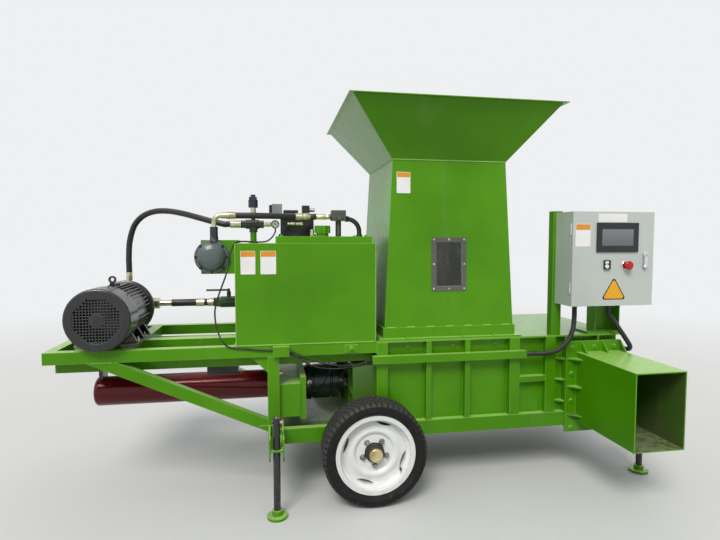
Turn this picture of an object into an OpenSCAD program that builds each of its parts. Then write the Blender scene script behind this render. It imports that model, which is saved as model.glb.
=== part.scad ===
// Trailer-mounted hydraulic square baler with a top hopper and a side outlet.
// Units are millimetres. X runs along the machine towards the outlet end, -Y is the
// operator's side, Z is up. The origin is on the ground under the middle of the machine.

/* [Frame] */
// Left end of the deck, from the origin
deck_left_x = -1648; // [-1700:1:-1560]
// Face of the frame on the operator's side
frame_near_y = -500; // [-520:1:-480]
// Width of the frame across both side faces
frame_w = 800; // [760:1:860]
// Height of the deck's top
deck_top_z = 825; // [800:1:850]
// Height of the deck's beams
deck_beam_h = 60; // [50:1:70]
// Width of a deck side beam, seen from above
deck_beam_w = 50; // [40:1:90]
// Height of the under beams below the deck
under_beam_h = 65; // [40:1:80]
// Thickness of posts, braces and bottom beams across the frame
post_t = 40; // [30:1:50]
// Width of the frame's posts
post_w = 60; // [40:1:70]
// Left face of the bay post
bay_post_x = -570; // [-590:1:-550]
// Top of the bottom beams
bottom_beam_top_z = 374; // [350:1:390]
// Height of the bottom beams
bottom_beam_h = 80; // [60:1:90]

/* [Wheels] */
// Place of the axle along the machine
axle_x = -27; // [-60:1:0]
// Outer diameter of a tyre
tyre_d = 548; // [520:2:560]
// Width of a tyre
tyre_w = 175; // [150:1:185]
// Gap between the frame's face and the tyre
tyre_gap = 25; // [15:1:40]
// Outer diameter of the rim's flange
rim_flange_d = 416; // [390:2:430]
// Side of the square axle
axle_side = 40; // [30:1:50]

/* [Chamber] */
// Left end of the chamber
chamber_left_x = 14; // [10:1:30]
// Inner face of the chamber's end wall
chamber_right_x = 1472; // [1440:1:1520]
// Thickness of the chamber's end wall
end_wall_t = 12; // [10:1:16]
// Height of the chamber's floor inside
floor_z = 334; // [325:1:345]
// Height of the pressed bale inside
bale_h = 386; // [360:1:400]
// Thickness of the pressed bale, along the machine
bale_l = 271; // [250:1:300]
// Thickness of the chamber's side walls
wall_t = 10; // [8:1:12]
// Thickness of the liner's plates
liner_t = 6; // [5:1:8]
// Thickness of the top plate
top_plate_t = 10; // [6:1:14]
// How far the chute reaches from the frame's face
chute_l = 500; // [400:1:600]
// Thickness of the chute's sheet
chute_t = 6; // [4:1:8]
// Thickness of the chute's flange
flange_t = 12; // [8:1:16]
// Height of the flange's lower edge
flange_low_z = 258; // [240:1:280]
// Height of the flange's upper edge
flange_top_z = 790; // [760:1:810]

/* [Hopper] */
// Centre of the hopper along the machine
hopper_x = 443; // [420:1:460]
// Length of the shaft at its base
shaft_base_l = 760; // [720:1:790]
// Length of the shaft at its neck
shaft_neck_l = 660; // [600:1:700]
// How far inside the shaft the feed opening starts on the ram's side
feed_inset = 87; // [80:1:95]
// Depth of the shaft at its neck
shaft_neck_w = 660; // [600:1:680]
// Length of the hopper's mouth
mouth_l = 1150; // [1000:1:1250]
// Depth of the hopper's mouth
mouth_w = 1010; // [900:1:1100]
// Height of the neck
neck_z = 1815; // [1700:1:1900]
// Height of the mouth's rim
mouth_z = 2117; // [2000:1:2200]
// Width of the mouth's rim
rim_w = 23; // [15:1:35]
// Thickness of the hopper's sheet
sheet_t = 5; // [4:1:8]
// Height of the angle frame under the shaft
base_angle_h = 65; // [50:1:80]

/* [Drive] */
// Place of the motor's axis along the machine
motor_x = -1380; // [-1420:1:-1340]
// Height of the motor's axis above the deck
shaft_h = 160; // [155:1:180]
// Outer diameter of the fan cowl
cowl_d = 310; // [300:1:318]
// Outer diameter of the motor's fins
motor_d = 290; // [280:1:296]
// Outer diameter of the main cylinder
main_cyl_d = 165; // [140:1:180]
// Diameter of the main rod
main_rod_d = 90; // [60:1:100]
// Height of the pressing axis
press_z = 515; // [505:1:530]
// Travel of the main ram
main_stroke = 1040; // [900:1:1045]
// Outer diameter of the ejecting cylinder
eject_cyl_d = 110; // [90:1:130]
// Diameter of the ejecting rod
eject_rod_d = 56; // [40:1:70]

/* [Tank] */
// Left face of the oil tank
tank_left_x = -727; // [-760:1:-700]
// Gap between the oil tank and the hopper's base
tank_gap = 23; // [10:1:40]
// Depth of the oil tank
tank_w = 650; // [600:1:700]
// Height of the tank's top
tank_top_z = 1357; // [1300:1:1400]

/* [Cabinet] */
// Left face of the cabinet
cabinet_x = 1058; // [1045:1:1075]
// Width of the cabinet
cabinet_w = 492; // [460:1:510]
// Height of the cabinet's underside
cabinet_z = 1013; // [980:1:1040]
// Height of the cabinet
cabinet_h = 516; // [480:1:540]
// Depth of the cabinet with its door
cabinet_d = 165; // [140:1:200]
// Thickness of the cabinet's door
door_t = 18; // [12:1:24]

/* [Jacks] */
// Diameter of a jack's tube
jack_d = 35; // [30:1:42]
// Height of a jack's tube
jack_h = 512; // [460:1:549]
// Diameter of a jack's foot
foot_d = 100; // [80:1:110]
// Travel of a jack
jack_stroke = 230; // [150:1:230]

/* [Hidden] */

green = [0.32, 0.56, 0.06];
black = [0.09, 0.09, 0.10];
red = [0.35, 0.04, 0.06];
zinc = [0.72, 0.70, 0.60];
mid_y = frame_near_y + frame_w / 2;
frame_far_y = frame_near_y + frame_w;
deck_low_z = deck_top_z - deck_beam_h;
under_low_z = deck_low_z - under_beam_h;
bottom_low_z = bottom_beam_top_z - bottom_beam_h;
wall_near_y = frame_near_y + post_t;
chamber_near_y = wall_near_y + wall_t;
chamber_far_y = frame_far_y - post_t - wall_t;
chamber_w = chamber_far_y - chamber_near_y;
plate_low_z = deck_top_z - 8;
plate_top_z = plate_low_z + top_plate_t;
axle_z = tyre_d / 2;
tyre_mid_y = frame_near_y - tyre_gap - tyre_w / 2;
// Places where pieces of one body meet face to face, and where moving pieces clear others
run_gap = 6;
bore_gap = 0.3;
shaft_gap = 0.1;

module mirror_y() {
    translate([0, 2 * mid_y, 0])
    mirror([0, 1, 0])
    children();
}

// A box given by its lowest corner and its highest corner
module span(a, b) {
    translate(a)
    cube(b - a);
}

// A rectangular tube along X, open at both ends
module tube_x(a, b, t) {
    difference() {
        span(a, b);
        span([a[0] - 1, a[1] + t, a[2] + t], [b[0] + 1, b[1] - t, b[2] - t]);
    }
}

// A cylinder along Y from y0 to y1
module rod_y(x, z, d, y0, y1, fn = 48) {
    translate([x, y1, z])
    rotate([90, 0, 0])
    cylinder(h = y1 - y0, d = d, $fn = fn);
}

// A cylinder along X from x0 to x1
module rod_x(y, z, d, x0, x1, fn = 48) {
    translate([x0, y, z])
    rotate([0, 90, 0])
    cylinder(h = x1 - x0, d = d, $fn = fn);
}

// A cylinder along Z from z0 to z1
module rod_z(x, y, d, z0, z1, fn = 48) {
    translate([x, y, z0])
    cylinder(h = z1 - z0, d = d, $fn = fn);
}

// A body turned about the Y axis: profile points are radius and distance from y1 towards -Y
module turned_y(x, z, y1, profile, fn = 64) {
    translate([x, y1, z])
    rotate([90, 0, 0])
    rotate_extrude($fn = fn)
    polygon(profile);
}

// A body turned about the X axis: profile points are radius and distance from x0
module turned_x(y, z, x0, profile, fn = 64) {
    translate([x0, y, z])
    rotate([0, 90, 0])
    rotate_extrude($fn = fn)
    polygon(profile);
}

// A body turned about the Z axis: profile points are radius and height
module turned_z(x, y, profile, fn = 64) {
    translate([x, y, 0])
    rotate_extrude($fn = fn)
    polygon(profile);
}

// Points of an arc about c, from angle a0 to a1
function arc(c, r, a0, a1, n = 5) = [for (i = [0 : n])
    c + r * [cos(a0 + (a1 - a0) * i / n), sin(a0 + (a1 - a0) * i / n)]];

// A flat plate in the XZ plane, from y0 to y1
module plate_xz(points, y0, y1) {
    translate([0, y1, 0])
    rotate([90, 0, 0])
    linear_extrude(y1 - y0)
    polygon(points);
}

// The tube of a hose or cable, swept along its route with a ring of eight sides
function unit(v) = v / norm(v);
function bezier(p0, p1, p2, p3, t) = let (u = 1 - t)
    u * u * u * p0 + 3 * u * u * t * p1 + 3 * u * t * t * p2 + t * t * t * p3;
function smooth_route(p, n) = let (last = len(p) - 1) [
    for (i = [0 : last - 1])
        let (a = i == 0 ? p[0] : p[i - 1], d = i == last - 1 ? p[last] : p[i + 2])
        for (k = [0 : n - 1])
            bezier(p[i], p[i] + (p[i + 1] - a) / 6, p[i + 1] - (d - p[i]) / 6, p[i + 1], k / n),
    p[last]
];
function route_dir(r, i) = i == 0 ? unit(r[1] - r[0])
    : i == len(r) - 1 ? unit(r[i] - r[i - 1]) : unit(r[i + 1] - r[i - 1]);
function side_dirs(r, i, s) = let (t = route_dir(r, i), q = unit(s - (s * t) * t))
    i == len(r) - 1 ? [q] : concat([q], side_dirs(r, i + 1, q));

module hose(points, d, first_side, steps = 3, sides = 8) {
    r = smooth_route(points, steps);
    s = side_dirs(r, 0, first_side);
    last = len(r) - 1;
    ring = [for (i = [0 : last])
        let (t = route_dir(r, i), w = cross(t, s[i]))
        for (k = [0 : sides - 1])
            r[i] + d / 2 * (cos(360 * k / sides) * s[i] + sin(360 * k / sides) * w)];
    walls = [for (i = [0 : last - 1], k = [0 : sides - 1])
        let (a = i * sides + k, b = i * sides + (k + 1) % sides)
        for (tri = [[a, a + sides, b], [b, a + sides, b + sides]])
            tri];
    first_cap = [for (k = [0 : sides - 1]) k];
    last_cap = [for (k = [sides - 1 : -1 : 0]) last * sides + k];
    polyhedron(points = ring, faces = concat(walls, [first_cap, last_cap]), convexity = 4);
}

// Frame of the deck

lug_plate = [[-161, 773], [-90, 813]];

module deck_side_beam() {
    color(green)
    span([deck_left_x, frame_near_y, deck_low_z],
        [chamber_left_x, frame_near_y + deck_beam_w, deck_top_z]);
}

module deck_side_beam_near() {
    deck_side_beam();
    color(green)
    span([lug_plate[0][0], frame_near_y - 6, lug_plate[0][1]],
        [lug_plate[1][0], frame_near_y, lug_plate[1][1]]);
}

module deck_side_beam_far() {
    mirror_y()
    deck_side_beam();
}

rail_near_y = -240;
rail_w = 70;
end_cross_w = 50;
cross_w = 60;
// Left faces of the two cross beams under the motor, of the one under the tank and of the last
motor_beam_x = [-1520, -1300];
tank_beam_x = -740;
last_beam_x = -60;
barrel_left_x = -1531;
under_near_y = -400;
under_w = 60;
under_left_x = -1628;
under_wall = 4;
hanger_beam_w = 60;

module deck_cross_beams() {
    // Left face of each beam, and its width
    beams = [[deck_left_x, end_cross_w], [motor_beam_x[0], cross_w], [motor_beam_x[1], cross_w],
        [tank_beam_x, cross_w], [last_beam_x, cross_w]];
    color(green) {
        for (b = beams)
            span([b[0], frame_near_y + deck_beam_w, deck_low_z],
                [b[0] + b[1], frame_far_y - deck_beam_w, deck_top_z]);
        // Lower beam that carries the hanger of the main cylinder
        span([barrel_left_x, under_near_y + under_w, under_low_z],
            [barrel_left_x + hanger_beam_w, 2 * mid_y - under_near_y - under_w, deck_low_z]);
    }
}

module deck_inner_rails() {
    color(green)
    for (x = [[deck_left_x + end_cross_w, motor_beam_x[0]],
        [motor_beam_x[0] + cross_w, motor_beam_x[1]], [motor_beam_x[1] + cross_w, tank_beam_x]])
        span([x[0], rail_near_y, deck_low_z], [x[1], rail_near_y + rail_w, deck_top_z]);
}

module under_beams() {
    color(green)
    for (y = [under_near_y, 2 * mid_y - under_near_y - under_w])
        tube_x([under_left_x, y, under_low_z], [chamber_left_x, y + under_w, deck_low_z],
            under_wall);
}

brace_top_x = -1308;
brace_left_x = -1450;
brace_low_z = 366;
brace_high_z = 432;

module brace() {
    color(green)
    plate_xz([[brace_left_x, deck_low_z], [bay_post_x, brace_low_z],
        [bay_post_x, brace_high_z], [brace_top_x, deck_low_z]],
        frame_near_y, frame_near_y + post_t);
}

module brace_near() {
    brace();
}

module brace_far() {
    mirror_y()
    brace();
}

gusset_side = 87;
gusset_t = 8;

module bay_post() {
    color(green) {
        span([bay_post_x, frame_near_y, bottom_low_z],
            [bay_post_x + post_w, frame_near_y + post_t, deck_low_z]);
        plate_xz([[bay_post_x - gusset_side, deck_low_z], [bay_post_x, deck_low_z - gusset_side],
            [bay_post_x, deck_low_z]],
            frame_near_y + post_t / 2 - gusset_t / 2, frame_near_y + post_t / 2 + gusset_t / 2);
    }
}

module bay_post_near() {
    bay_post();
}

module bay_post_far() {
    mirror_y()
    bay_post();
}

mouth_left_x = chamber_right_x - bale_l;
mouth_right_x = chamber_right_x + chute_t;
end_face_x = chamber_right_x + end_wall_t;
mouth_frame_x = 1130;

module bottom_beam_near() {
    color(green)
    span([bay_post_x + post_w, frame_near_y, bottom_low_z],
        [mouth_frame_x, wall_near_y, bottom_beam_top_z]);
}

module bottom_beam_far() {
    color(green)
    span([bay_post_x + post_w, frame_far_y - post_t, bottom_low_z],
        [end_face_x, frame_far_y, bottom_beam_top_z]);
}

cross_top_z = floor_z - liner_t;
end_beam_x = end_face_x;
end_beam_w = 60;
jack_right_x = 1598;
jack_right_y = -544;
jack_left_x = -528;
jack_left_y = -684;
bracket_w = 76;

module bottom_cross_beams() {
    color(green) {
        for (x = [bay_post_x, -57, 500, 1010])
            span([x, wall_near_y, bottom_low_z],
                [x + post_w, frame_far_y - post_t, cross_top_z]);
        span([end_beam_x, jack_right_y - bracket_w / 2, bottom_low_z],
            [end_beam_x + end_beam_w, 2 * mid_y - jack_right_y + bracket_w / 2,
            bottom_beam_top_z]);
    }
}

// Running gear

hub_d = 96;
hub_in_y = frame_near_y - 16;
hub_out_y = tyre_mid_y - 30;
stub_d = 36;
axle_end_y = frame_near_y - 10;

module axle() {
    color(black) {
        span([axle_x - axle_side / 2, axle_end_y, axle_z - axle_side / 2],
            [axle_x + axle_side / 2, 2 * mid_y - axle_end_y, axle_z + axle_side / 2]);
        for (m = [0, 1])
            translate([0, m * 2 * mid_y, 0])
            mirror([0, m, 0])
            rod_y(axle_x, axle_z, stub_d, hub_out_y, axle_end_y);
    }
}

// Half of the tyre's section: radius and distance from its middle plane
tyre_half = [[190, 65.5], [209, 65.5], [213, 75], [226, 84], [240, 87.5], [254, 86],
    [266, 80], [272, 72], [274, 60]];

module tyre() {
    k = tyre_w / 175;
    shift = tyre_d / 2 - 274;
    side = [for (p = tyre_half) [p[0] < 210 ? p[0] : p[0] + shift, p[1] * k]];
    other = [for (i = [len(side) - 1 : -1 : 0]) [side[i][0], -side[i][1]]];
    color(black)
    translate([axle_x, tyre_mid_y, axle_z])
    rotate([90, 0, 0])
    rotate_extrude($fn = 72)
    polygon(concat(side, other));
}

rim_r = rim_flange_d / 2;
well_r = rim_r - 36;
disc_z = 20;
disc_t = 6;
slot_r = 110;
slot_depth = 20;

module rim() {
    // Barrel with its bead seats and drop centre: radius and distance from the middle plane
    outer = [[rim_r, 71], [rim_r, 66], [rim_r - 18, 66], [rim_r - 18, 44], [well_r, 34]];
    inner = [[well_r - 5, 36], [rim_r - 23, 47], [rim_r - 23, 71]];
    section = concat(outer, [for (i = [len(outer) - 1 : -1 : 0]) [outer[i][0], -outer[i][1]]],
        [for (i = [len(inner) - 1 : -1 : 0]) [inner[i][0], -inner[i][1]]], inner);
    // Middle line of the pressed disc: radius and height above its seat
    line = [[hub_d / 2 + 4, 0], [96, 0], [108, 9], [118, 11], [130, 6], [140, 1], [150, -2],
        [well_r - 4, -4]];
    disc = concat([for (p = line) [p[0], disc_z + p[1]]],
        [for (i = [len(line) - 1 : -1 : 0]) [line[i][0], disc_z + disc_t + line[i][1]]]);
    color("white")
    translate([axle_x, tyre_mid_y, axle_z])
    rotate([90, 0, 0]) {
        rotate_extrude($fn = 64)
        polygon(section);
        difference() {
            rotate_extrude($fn = 64)
            polygon(disc);
            for (a = [72, 162, 252, 342])
                rotate([0, 0, a])
                translate([well_r - 4 - slot_depth + slot_r, 0, disc_z - 10])
                cylinder(h = 30, r = slot_r, $fn = 64);
        }
    }
}

cap_d = 70;

module hub() {
    flange_y = tyre_mid_y - disc_z;
    color(black)
    difference() {
        union() {
            rod_y(axle_x, axle_z, hub_d, hub_out_y - 12, hub_in_y);
            rod_y(axle_x, axle_z, 170, flange_y, flange_y + 12);
        }
        rod_y(axle_x, axle_z, stub_d + 2 * shaft_gap, hub_out_y - 0.5, hub_in_y + 1);
    }
    color([0.6, 0.5, 0.3])
    turned_y(axle_x, axle_z, hub_out_y - 12, concat([[0, 0], [41, 0], [41, 8], [cap_d / 2, 8]],
        arc([cap_d / 2 - 6, 28], 6, 0, 90, 3), [[20, 34], [18, 31], [0, 31]]), 48);
}

module tyre_near() {
    tyre();
}

module rim_near() {
    rim();
}

module hub_near() {
    hub();
}

module tyre_far() {
    mirror_y()
    tyre();
}

module rim_far() {
    mirror_y()
    rim();
}

module hub_far() {
    mirror_y()
    hub();
}

// Chamber

rib_x = [294, 520];
rib_w = 28;
middle_posts_x = [787, 1008];
wall_posts_x = concat([chamber_left_x], middle_posts_x);
half_rib_z = [560, 592];
sill_low_z = 288;

module chamber_wall_near() {
    color(green)
    difference() {
        union() {
            span([chamber_left_x, wall_near_y, floor_z - liner_t],
                [end_face_x, chamber_near_y, plate_low_z]);
            for (x = wall_posts_x)
                span([x, frame_near_y, bottom_beam_top_z],
                    [x + post_w, wall_near_y, plate_low_z]);
            for (x = rib_x)
                span([x, frame_near_y, bottom_beam_top_z],
                    [x + rib_w, wall_near_y, plate_low_z]);
            span([middle_posts_x[0] + post_w, frame_near_y + 4, half_rib_z[0]],
                [middle_posts_x[1], wall_near_y, half_rib_z[1]]);
            // Frame round the outlet, its sill, and the gussets in the recess beside it
            span([mouth_left_x - chute_t, frame_near_y, floor_z - chute_t],
                [mouth_right_x, wall_near_y, floor_z + bale_h + chute_t]);
            span([mouth_frame_x, frame_near_y, sill_low_z],
                [mouth_right_x, wall_near_y, floor_z]);
            span([mouth_frame_x, frame_near_y, floor_z],
                [mouth_frame_x + gusset_t, wall_near_y, plate_low_z]);
            for (z = [430, 556, 680])
                translate([0, 0, z])
                linear_extrude(gusset_t)
                polygon([[middle_posts_x[1] + post_w, wall_near_y],
                    [mouth_frame_x, frame_near_y], [mouth_frame_x, wall_near_y]]);
            span([mouth_left_x + bale_l / 2, frame_near_y, floor_z + bale_h + chute_t],
                [mouth_left_x + bale_l / 2 + gusset_t, wall_near_y, plate_low_z]);
        }
        span([mouth_left_x, frame_near_y - 1, floor_z],
            [mouth_left_x + bale_l, chamber_near_y + 1, floor_z + bale_h]);
    }
}

eject_x = mouth_left_x + bale_l / 2;
eject_z = floor_z + bale_h / 2;

module chamber_wall_far() {
    color(green)
    difference() {
        union() {
            span([chamber_left_x, chamber_far_y, floor_z - liner_t],
                [end_face_x, frame_far_y - post_t, plate_low_z]);
            for (x = concat(wall_posts_x, [end_face_x - post_w]))
                span([x, frame_far_y - post_t, bottom_beam_top_z],
                    [x + post_w, frame_far_y, plate_low_z]);
            for (x = rib_x)
                span([x, frame_far_y - post_t, bottom_beam_top_z],
                    [x + rib_w, frame_far_y, plate_low_z]);
            span([middle_posts_x[1] + post_w, frame_far_y - post_t, eject_z - 90],
                [end_face_x - post_w, frame_far_y, eject_z + 90]);
        }
        rod_y(eject_x, eject_z, eject_rod_d + 2 * run_gap, chamber_far_y - 1, frame_far_y - 30);
        rod_y(eject_x, eject_z, eject_cyl_d + 42, frame_far_y - post_t, frame_far_y + 1);
    }
}

feed_left_x = hopper_x - shaft_base_l / 2 + feed_inset;
feed_right_x = hopper_x + shaft_base_l / 2 - 33;
liner_left_x = -510;
end_rib_z = [420, 560, 700];
end_rib_h = 40;
end_rib_d = 36;

module chamber_liner() {
    color(green)
    difference() {
        union() {
            // Floor, roof and end wall
            span([liner_left_x, chamber_near_y, floor_z - liner_t],
                [chamber_right_x, chamber_far_y, floor_z]);
            span([chamber_left_x, chamber_near_y, floor_z + bale_h],
                [chamber_right_x, chamber_far_y, floor_z + bale_h + liner_t]);
            span([chamber_right_x, chamber_near_y, floor_z - liner_t],
                [end_face_x, chamber_far_y, plate_low_z]);
            for (z = end_rib_z)
                span([end_face_x, chamber_near_y, z],
                    [end_face_x + end_rib_d, chamber_far_y, z + end_rib_h]);
            // Throat below the hopper
            span([feed_left_x - liner_t, chamber_near_y, floor_z + bale_h],
                [feed_left_x, chamber_far_y, plate_low_z]);
            span([feed_right_x, chamber_near_y, floor_z + bale_h],
                [feed_right_x + liner_t, chamber_far_y, plate_low_z]);
        }
        span([feed_left_x, chamber_near_y - 1, floor_z + bale_h - 1],
            [feed_right_x, chamber_far_y + 1, plate_low_z + 1]);
    }
}

module top_plate() {
    color(green)
    difference() {
        span([chamber_left_x, frame_near_y, plate_low_z],
            [end_face_x + 6, frame_far_y, plate_top_z]);
        span([feed_left_x, chamber_near_y, plate_low_z - 1],
            [feed_right_x, chamber_far_y, plate_top_z + 1]);
    }
}

chute_end_y = frame_near_y - chute_l;
flange_y = frame_near_y - flange_t;
chute_gusset_l = 60;

module chute() {
    roof_z = floor_z + bale_h + chute_t;
    color(green)
    difference() {
        union() {
            span([mouth_frame_x, flange_y, flange_low_z],
                [mouth_right_x, frame_near_y, flange_top_z]);
            span([mouth_left_x - chute_t, chute_end_y, floor_z - chute_t],
                [mouth_right_x, flange_y, roof_z]);
            for (z = [358, 523, 685])
                translate([0, 0, z])
                linear_extrude(gusset_t)
                polygon([[mouth_frame_x + 8, flange_y], [mouth_left_x - chute_t, flange_y],
                    [mouth_left_x - chute_t, flange_y - chute_gusset_l]]);
            for (x = [mouth_left_x + 22, mouth_left_x + 155, mouth_right_x - gusset_t])
                translate([x, 0, 0])
                rotate([90, 0, 90])
                linear_extrude(gusset_t)
                polygon([[flange_y, roof_z], [flange_y, flange_top_z - 2],
                    [flange_y - chute_gusset_l, roof_z]]);
        }
        span([mouth_left_x, chute_end_y - 1, floor_z],
            [mouth_left_x + bale_l, frame_near_y + 1, floor_z + bale_h]);
    }
}

// Hopper

base_angle_t = 6;
base_foot_t = 8;
base_foot_w = 28;
shaft_base_w = frame_w - 2 * post_t;
base_left_x = hopper_x - shaft_base_l / 2 - base_angle_t - base_foot_w;

module hopper_base() {
    l = shaft_base_l + 2 * base_angle_t;
    w = shaft_base_w + 2 * base_angle_t;
    color(green)
    translate([hopper_x, mid_y, plate_top_z])
    difference() {
        union() {
            translate([-l / 2 - base_foot_w, -w / 2 - base_foot_w, 0])
            cube([l + 2 * base_foot_w, w + 2 * base_foot_w, base_foot_t]);
            translate([-l / 2, -w / 2, 0])
            cube([l, w, base_angle_h]);
        }
        translate([-shaft_base_l / 2, -shaft_base_w / 2, -1])
        cube([shaft_base_l, shaft_base_w, base_angle_h + 2]);
    }
}

// A solid between a lower and an upper rectangle, both centred on the Z axis
module frustum(low, high, z0, z1) {
    corners = [[-1, -1], [1, -1], [1, 1], [-1, 1]];
    points = concat([for (c = corners) [c[0] * low[0] / 2, c[1] * low[1] / 2, z0]],
        [for (c = corners) [c[0] * high[0] / 2, c[1] * high[1] / 2, z1]]);
    polyhedron(points = points, faces = [[0, 1, 2, 3], [7, 6, 5, 4], [0, 4, 5, 1],
        [1, 5, 6, 2], [2, 6, 7, 3], [3, 7, 4, 0]]);
}

// A tapered frame of sheet between a lower and an upper rectangle
module tapered_sheet(low, high, h, t) {
    inset = [2 * t, 2 * t];
    slope = (high - low) / h;
    difference() {
        frustum(low, high, 0, h);
        frustum(low - inset - slope, high - inset + slope, -1, h + 1);
    }
}

window_x = -7;
window_z = 1240;
window_size = [204, 301];
frame_strip = 26;
pane_size = [window_size[0] - 2 * frame_strip + 16, window_size[1] - 2 * frame_strip + 16];
lean = (shaft_base_w - shaft_neck_w) / 2 / (neck_z - plate_top_z);

module on_shaft_front(z) {
    translate([hopper_x, mid_y - shaft_base_w / 2 + lean * (z - plate_top_z), z])
    rotate([90 - atan(lean), 0, 0])
    children();
}

module hopper_shaft() {
    color(green)
    difference() {
        translate([hopper_x, mid_y, plate_top_z])
        tapered_sheet([shaft_base_l, shaft_base_w], [shaft_neck_l, shaft_neck_w],
            neck_z - plate_top_z, sheet_t);
        on_shaft_front(window_z)
        translate([window_x, 0, -20])
        linear_extrude(40)
        square(pane_size, center = true);
    }
}

module hopper_flare() {
    color(green)
    translate([hopper_x, mid_y, neck_z]) {
        tapered_sheet([shaft_neck_l, shaft_neck_w], [mouth_l, mouth_w],
            mouth_z - sheet_t - neck_z, sheet_t);
        translate([0, 0, mouth_z - sheet_t - neck_z])
        linear_extrude(sheet_t)
        difference() {
            square([mouth_l + 2 * rim_w, mouth_w + 2 * rim_w], center = true);
            square([mouth_l - 2 * sheet_t, mouth_w - 2 * sheet_t], center = true);
        }
    }
}

module window_frame() {
    color([0.25, 0.27, 0.27])
    on_shaft_front(window_z)
    translate([window_x, 0, 0])
    linear_extrude(4)
    difference() {
        square(window_size, center = true);
        square([window_size[0] - 2 * frame_strip, window_size[1] - 2 * frame_strip],
            center = true);
    }
}

module window_pane() {
    color([0.5, 0.55, 0.55, 0.4])
    on_shaft_front(window_z)
    translate([window_x, 0, -4])
    linear_extrude(4)
    square(pane_size, center = true);
}

// Oil tank and what stands on it

tank_right_x = base_left_x - tank_gap;
tank_far_y = frame_near_y + tank_w;
lid_h = 38;
lid_left_x = -520;
lid_near_y = -400;
lid_far_y = 60;
lid_top_z = tank_top_z + lid_h;

module oil_tank() {
    color(green)
    difference() {
        span([tank_left_x, frame_near_y, deck_top_z], [tank_right_x, tank_far_y, tank_top_z]);
        span([tank_left_x + sheet_t, frame_near_y + sheet_t, deck_top_z + sheet_t],
            [tank_right_x - sheet_t, tank_far_y - sheet_t, tank_top_z - sheet_t]);
    }
}

module tank_lid() {
    color(green)
    span([lid_left_x, lid_near_y, tank_top_z], [tank_right_x, lid_far_y, lid_top_z]);
}

cap_x = -247;
cap_y = -170;
cap_lobes = 10;

module filler_cap() {
    color(green)
    translate([cap_x, cap_y, lid_top_z]) {
        cylinder(h = 20, d = 72, $fn = 40);
        translate([0, 0, 20])
        linear_extrude(44)
        union() {
            circle(d = 84, $fn = 48);
            for (i = [0 : cap_lobes - 1])
                rotate(360 * i / cap_lobes)
                translate([38, 0])
                circle(d = 18, $fn = 16);
        }
    }
    color(zinc)
    rod_z(cap_x - 61, cap_y, 24, lid_top_z, lid_top_z + 42, 24);
}

filter_x = -872;
filter_z = 1280;
filter_box_y = -220;
filter_box = [205, 180, 190];
union_x = -858;
union_y = filter_box_y - 17;
return_z = 1512;
return_start_x = -790;
elbow_r = 40;
elbow_d = 27;

module return_filter() {
    color(green)
    translate([tank_left_x - filter_box[0], filter_box_y, filter_z - filter_box[2] / 2])
    cube(filter_box);
    color([0.36, 0.42, 0.42])
    turned_y(filter_x, filter_z, filter_box_y, [[0, 0], [88, 0], [88, 8], [94, 10], [94, 22],
        [90, 25], [80, 26], [76, 34], [66, 44], [46, 52], [24, 56], [0, 57]]);
    // Union on top, with its elbow towards the return hose
    color(black) {
        rod_z(union_x, union_y, 46, filter_z + 86, filter_z + 112, 6);
        rod_z(union_x, union_y, 44, filter_z + 112, 1448, 32);
    }
    color(zinc) {
        rod_z(union_x, union_y, elbow_d, 1448, return_z - elbow_r, 32);
        translate([union_x + elbow_r, union_y, return_z - elbow_r])
        rotate([90, 0, 0])
        rotate([0, 0, 90])
        rotate_extrude(angle = 90, $fn = 64)
        translate([elbow_r, 0])
        circle(d = elbow_d, $fn = 24);
        rod_x(union_y, return_z, 34, union_x + elbow_r, return_start_x, 32);
    }
}

line_y = -150;
line_z = 1466;
neck_x = -646;
hose_end_x = neck_x - 129;
switch_z = line_z + 96;

module pressure_fittings() {
    color(zinc) {
        rod_x(line_y, line_z, 42, hose_end_x, neck_x - 70, 32);
        rod_x(line_y, line_z, 28, neck_x + 60, neck_x + 101, 32);
        rod_z(neck_x, line_y, 30, switch_z - 30, switch_z, 6);
    }
    color(black) {
        for (x = [neck_x - 70, neck_x + 33])
            rod_x(line_y, line_z, 44, x, x + 27, 6);
        rod_x(line_y, line_z, 54, neck_x - 43, neck_x + 33, 40);
        rod_z(neck_x, line_y, 47, line_z - 46, line_z, 32);
        rod_z(neck_x, line_y, 24, line_z, switch_z - 30, 32);
    }
    color(green) {
        rod_z(neck_x, line_y, 36, tank_top_z, line_z - 46, 32);
        rod_z(neck_x, line_y, 56, tank_top_z, tank_top_z + 8, 32);
    }
    // Pressure switch with its plug
    color([0.08, 0.14, 0.22]) {
        rod_z(neck_x, line_y, 54, switch_z, switch_z + 44, 32);
        span([neck_x - 22, line_y - 24, switch_z + 44], [neck_x + 22, line_y + 24, switch_z + 60]);
        rod_z(neck_x, line_y, 28, switch_z + 60, switch_z + 74, 24);
    }
    // Gauge, its dial towards the operator
    color([0.15, 0.2, 0.3])
    turned_y(neck_x + 125, line_z, line_y + 14, [[0, 0], [24, 0], [24, 30], [20, 30], [20, 26],
        [0, 26]], 40);
}

block_x = -191;
block_z = 1489;
block_size = [82, 80, 61];
block_y = -190;
manifold_x = [-488, -289];
manifold_y = [-60, 40];
manifold_z = 1528;

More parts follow.
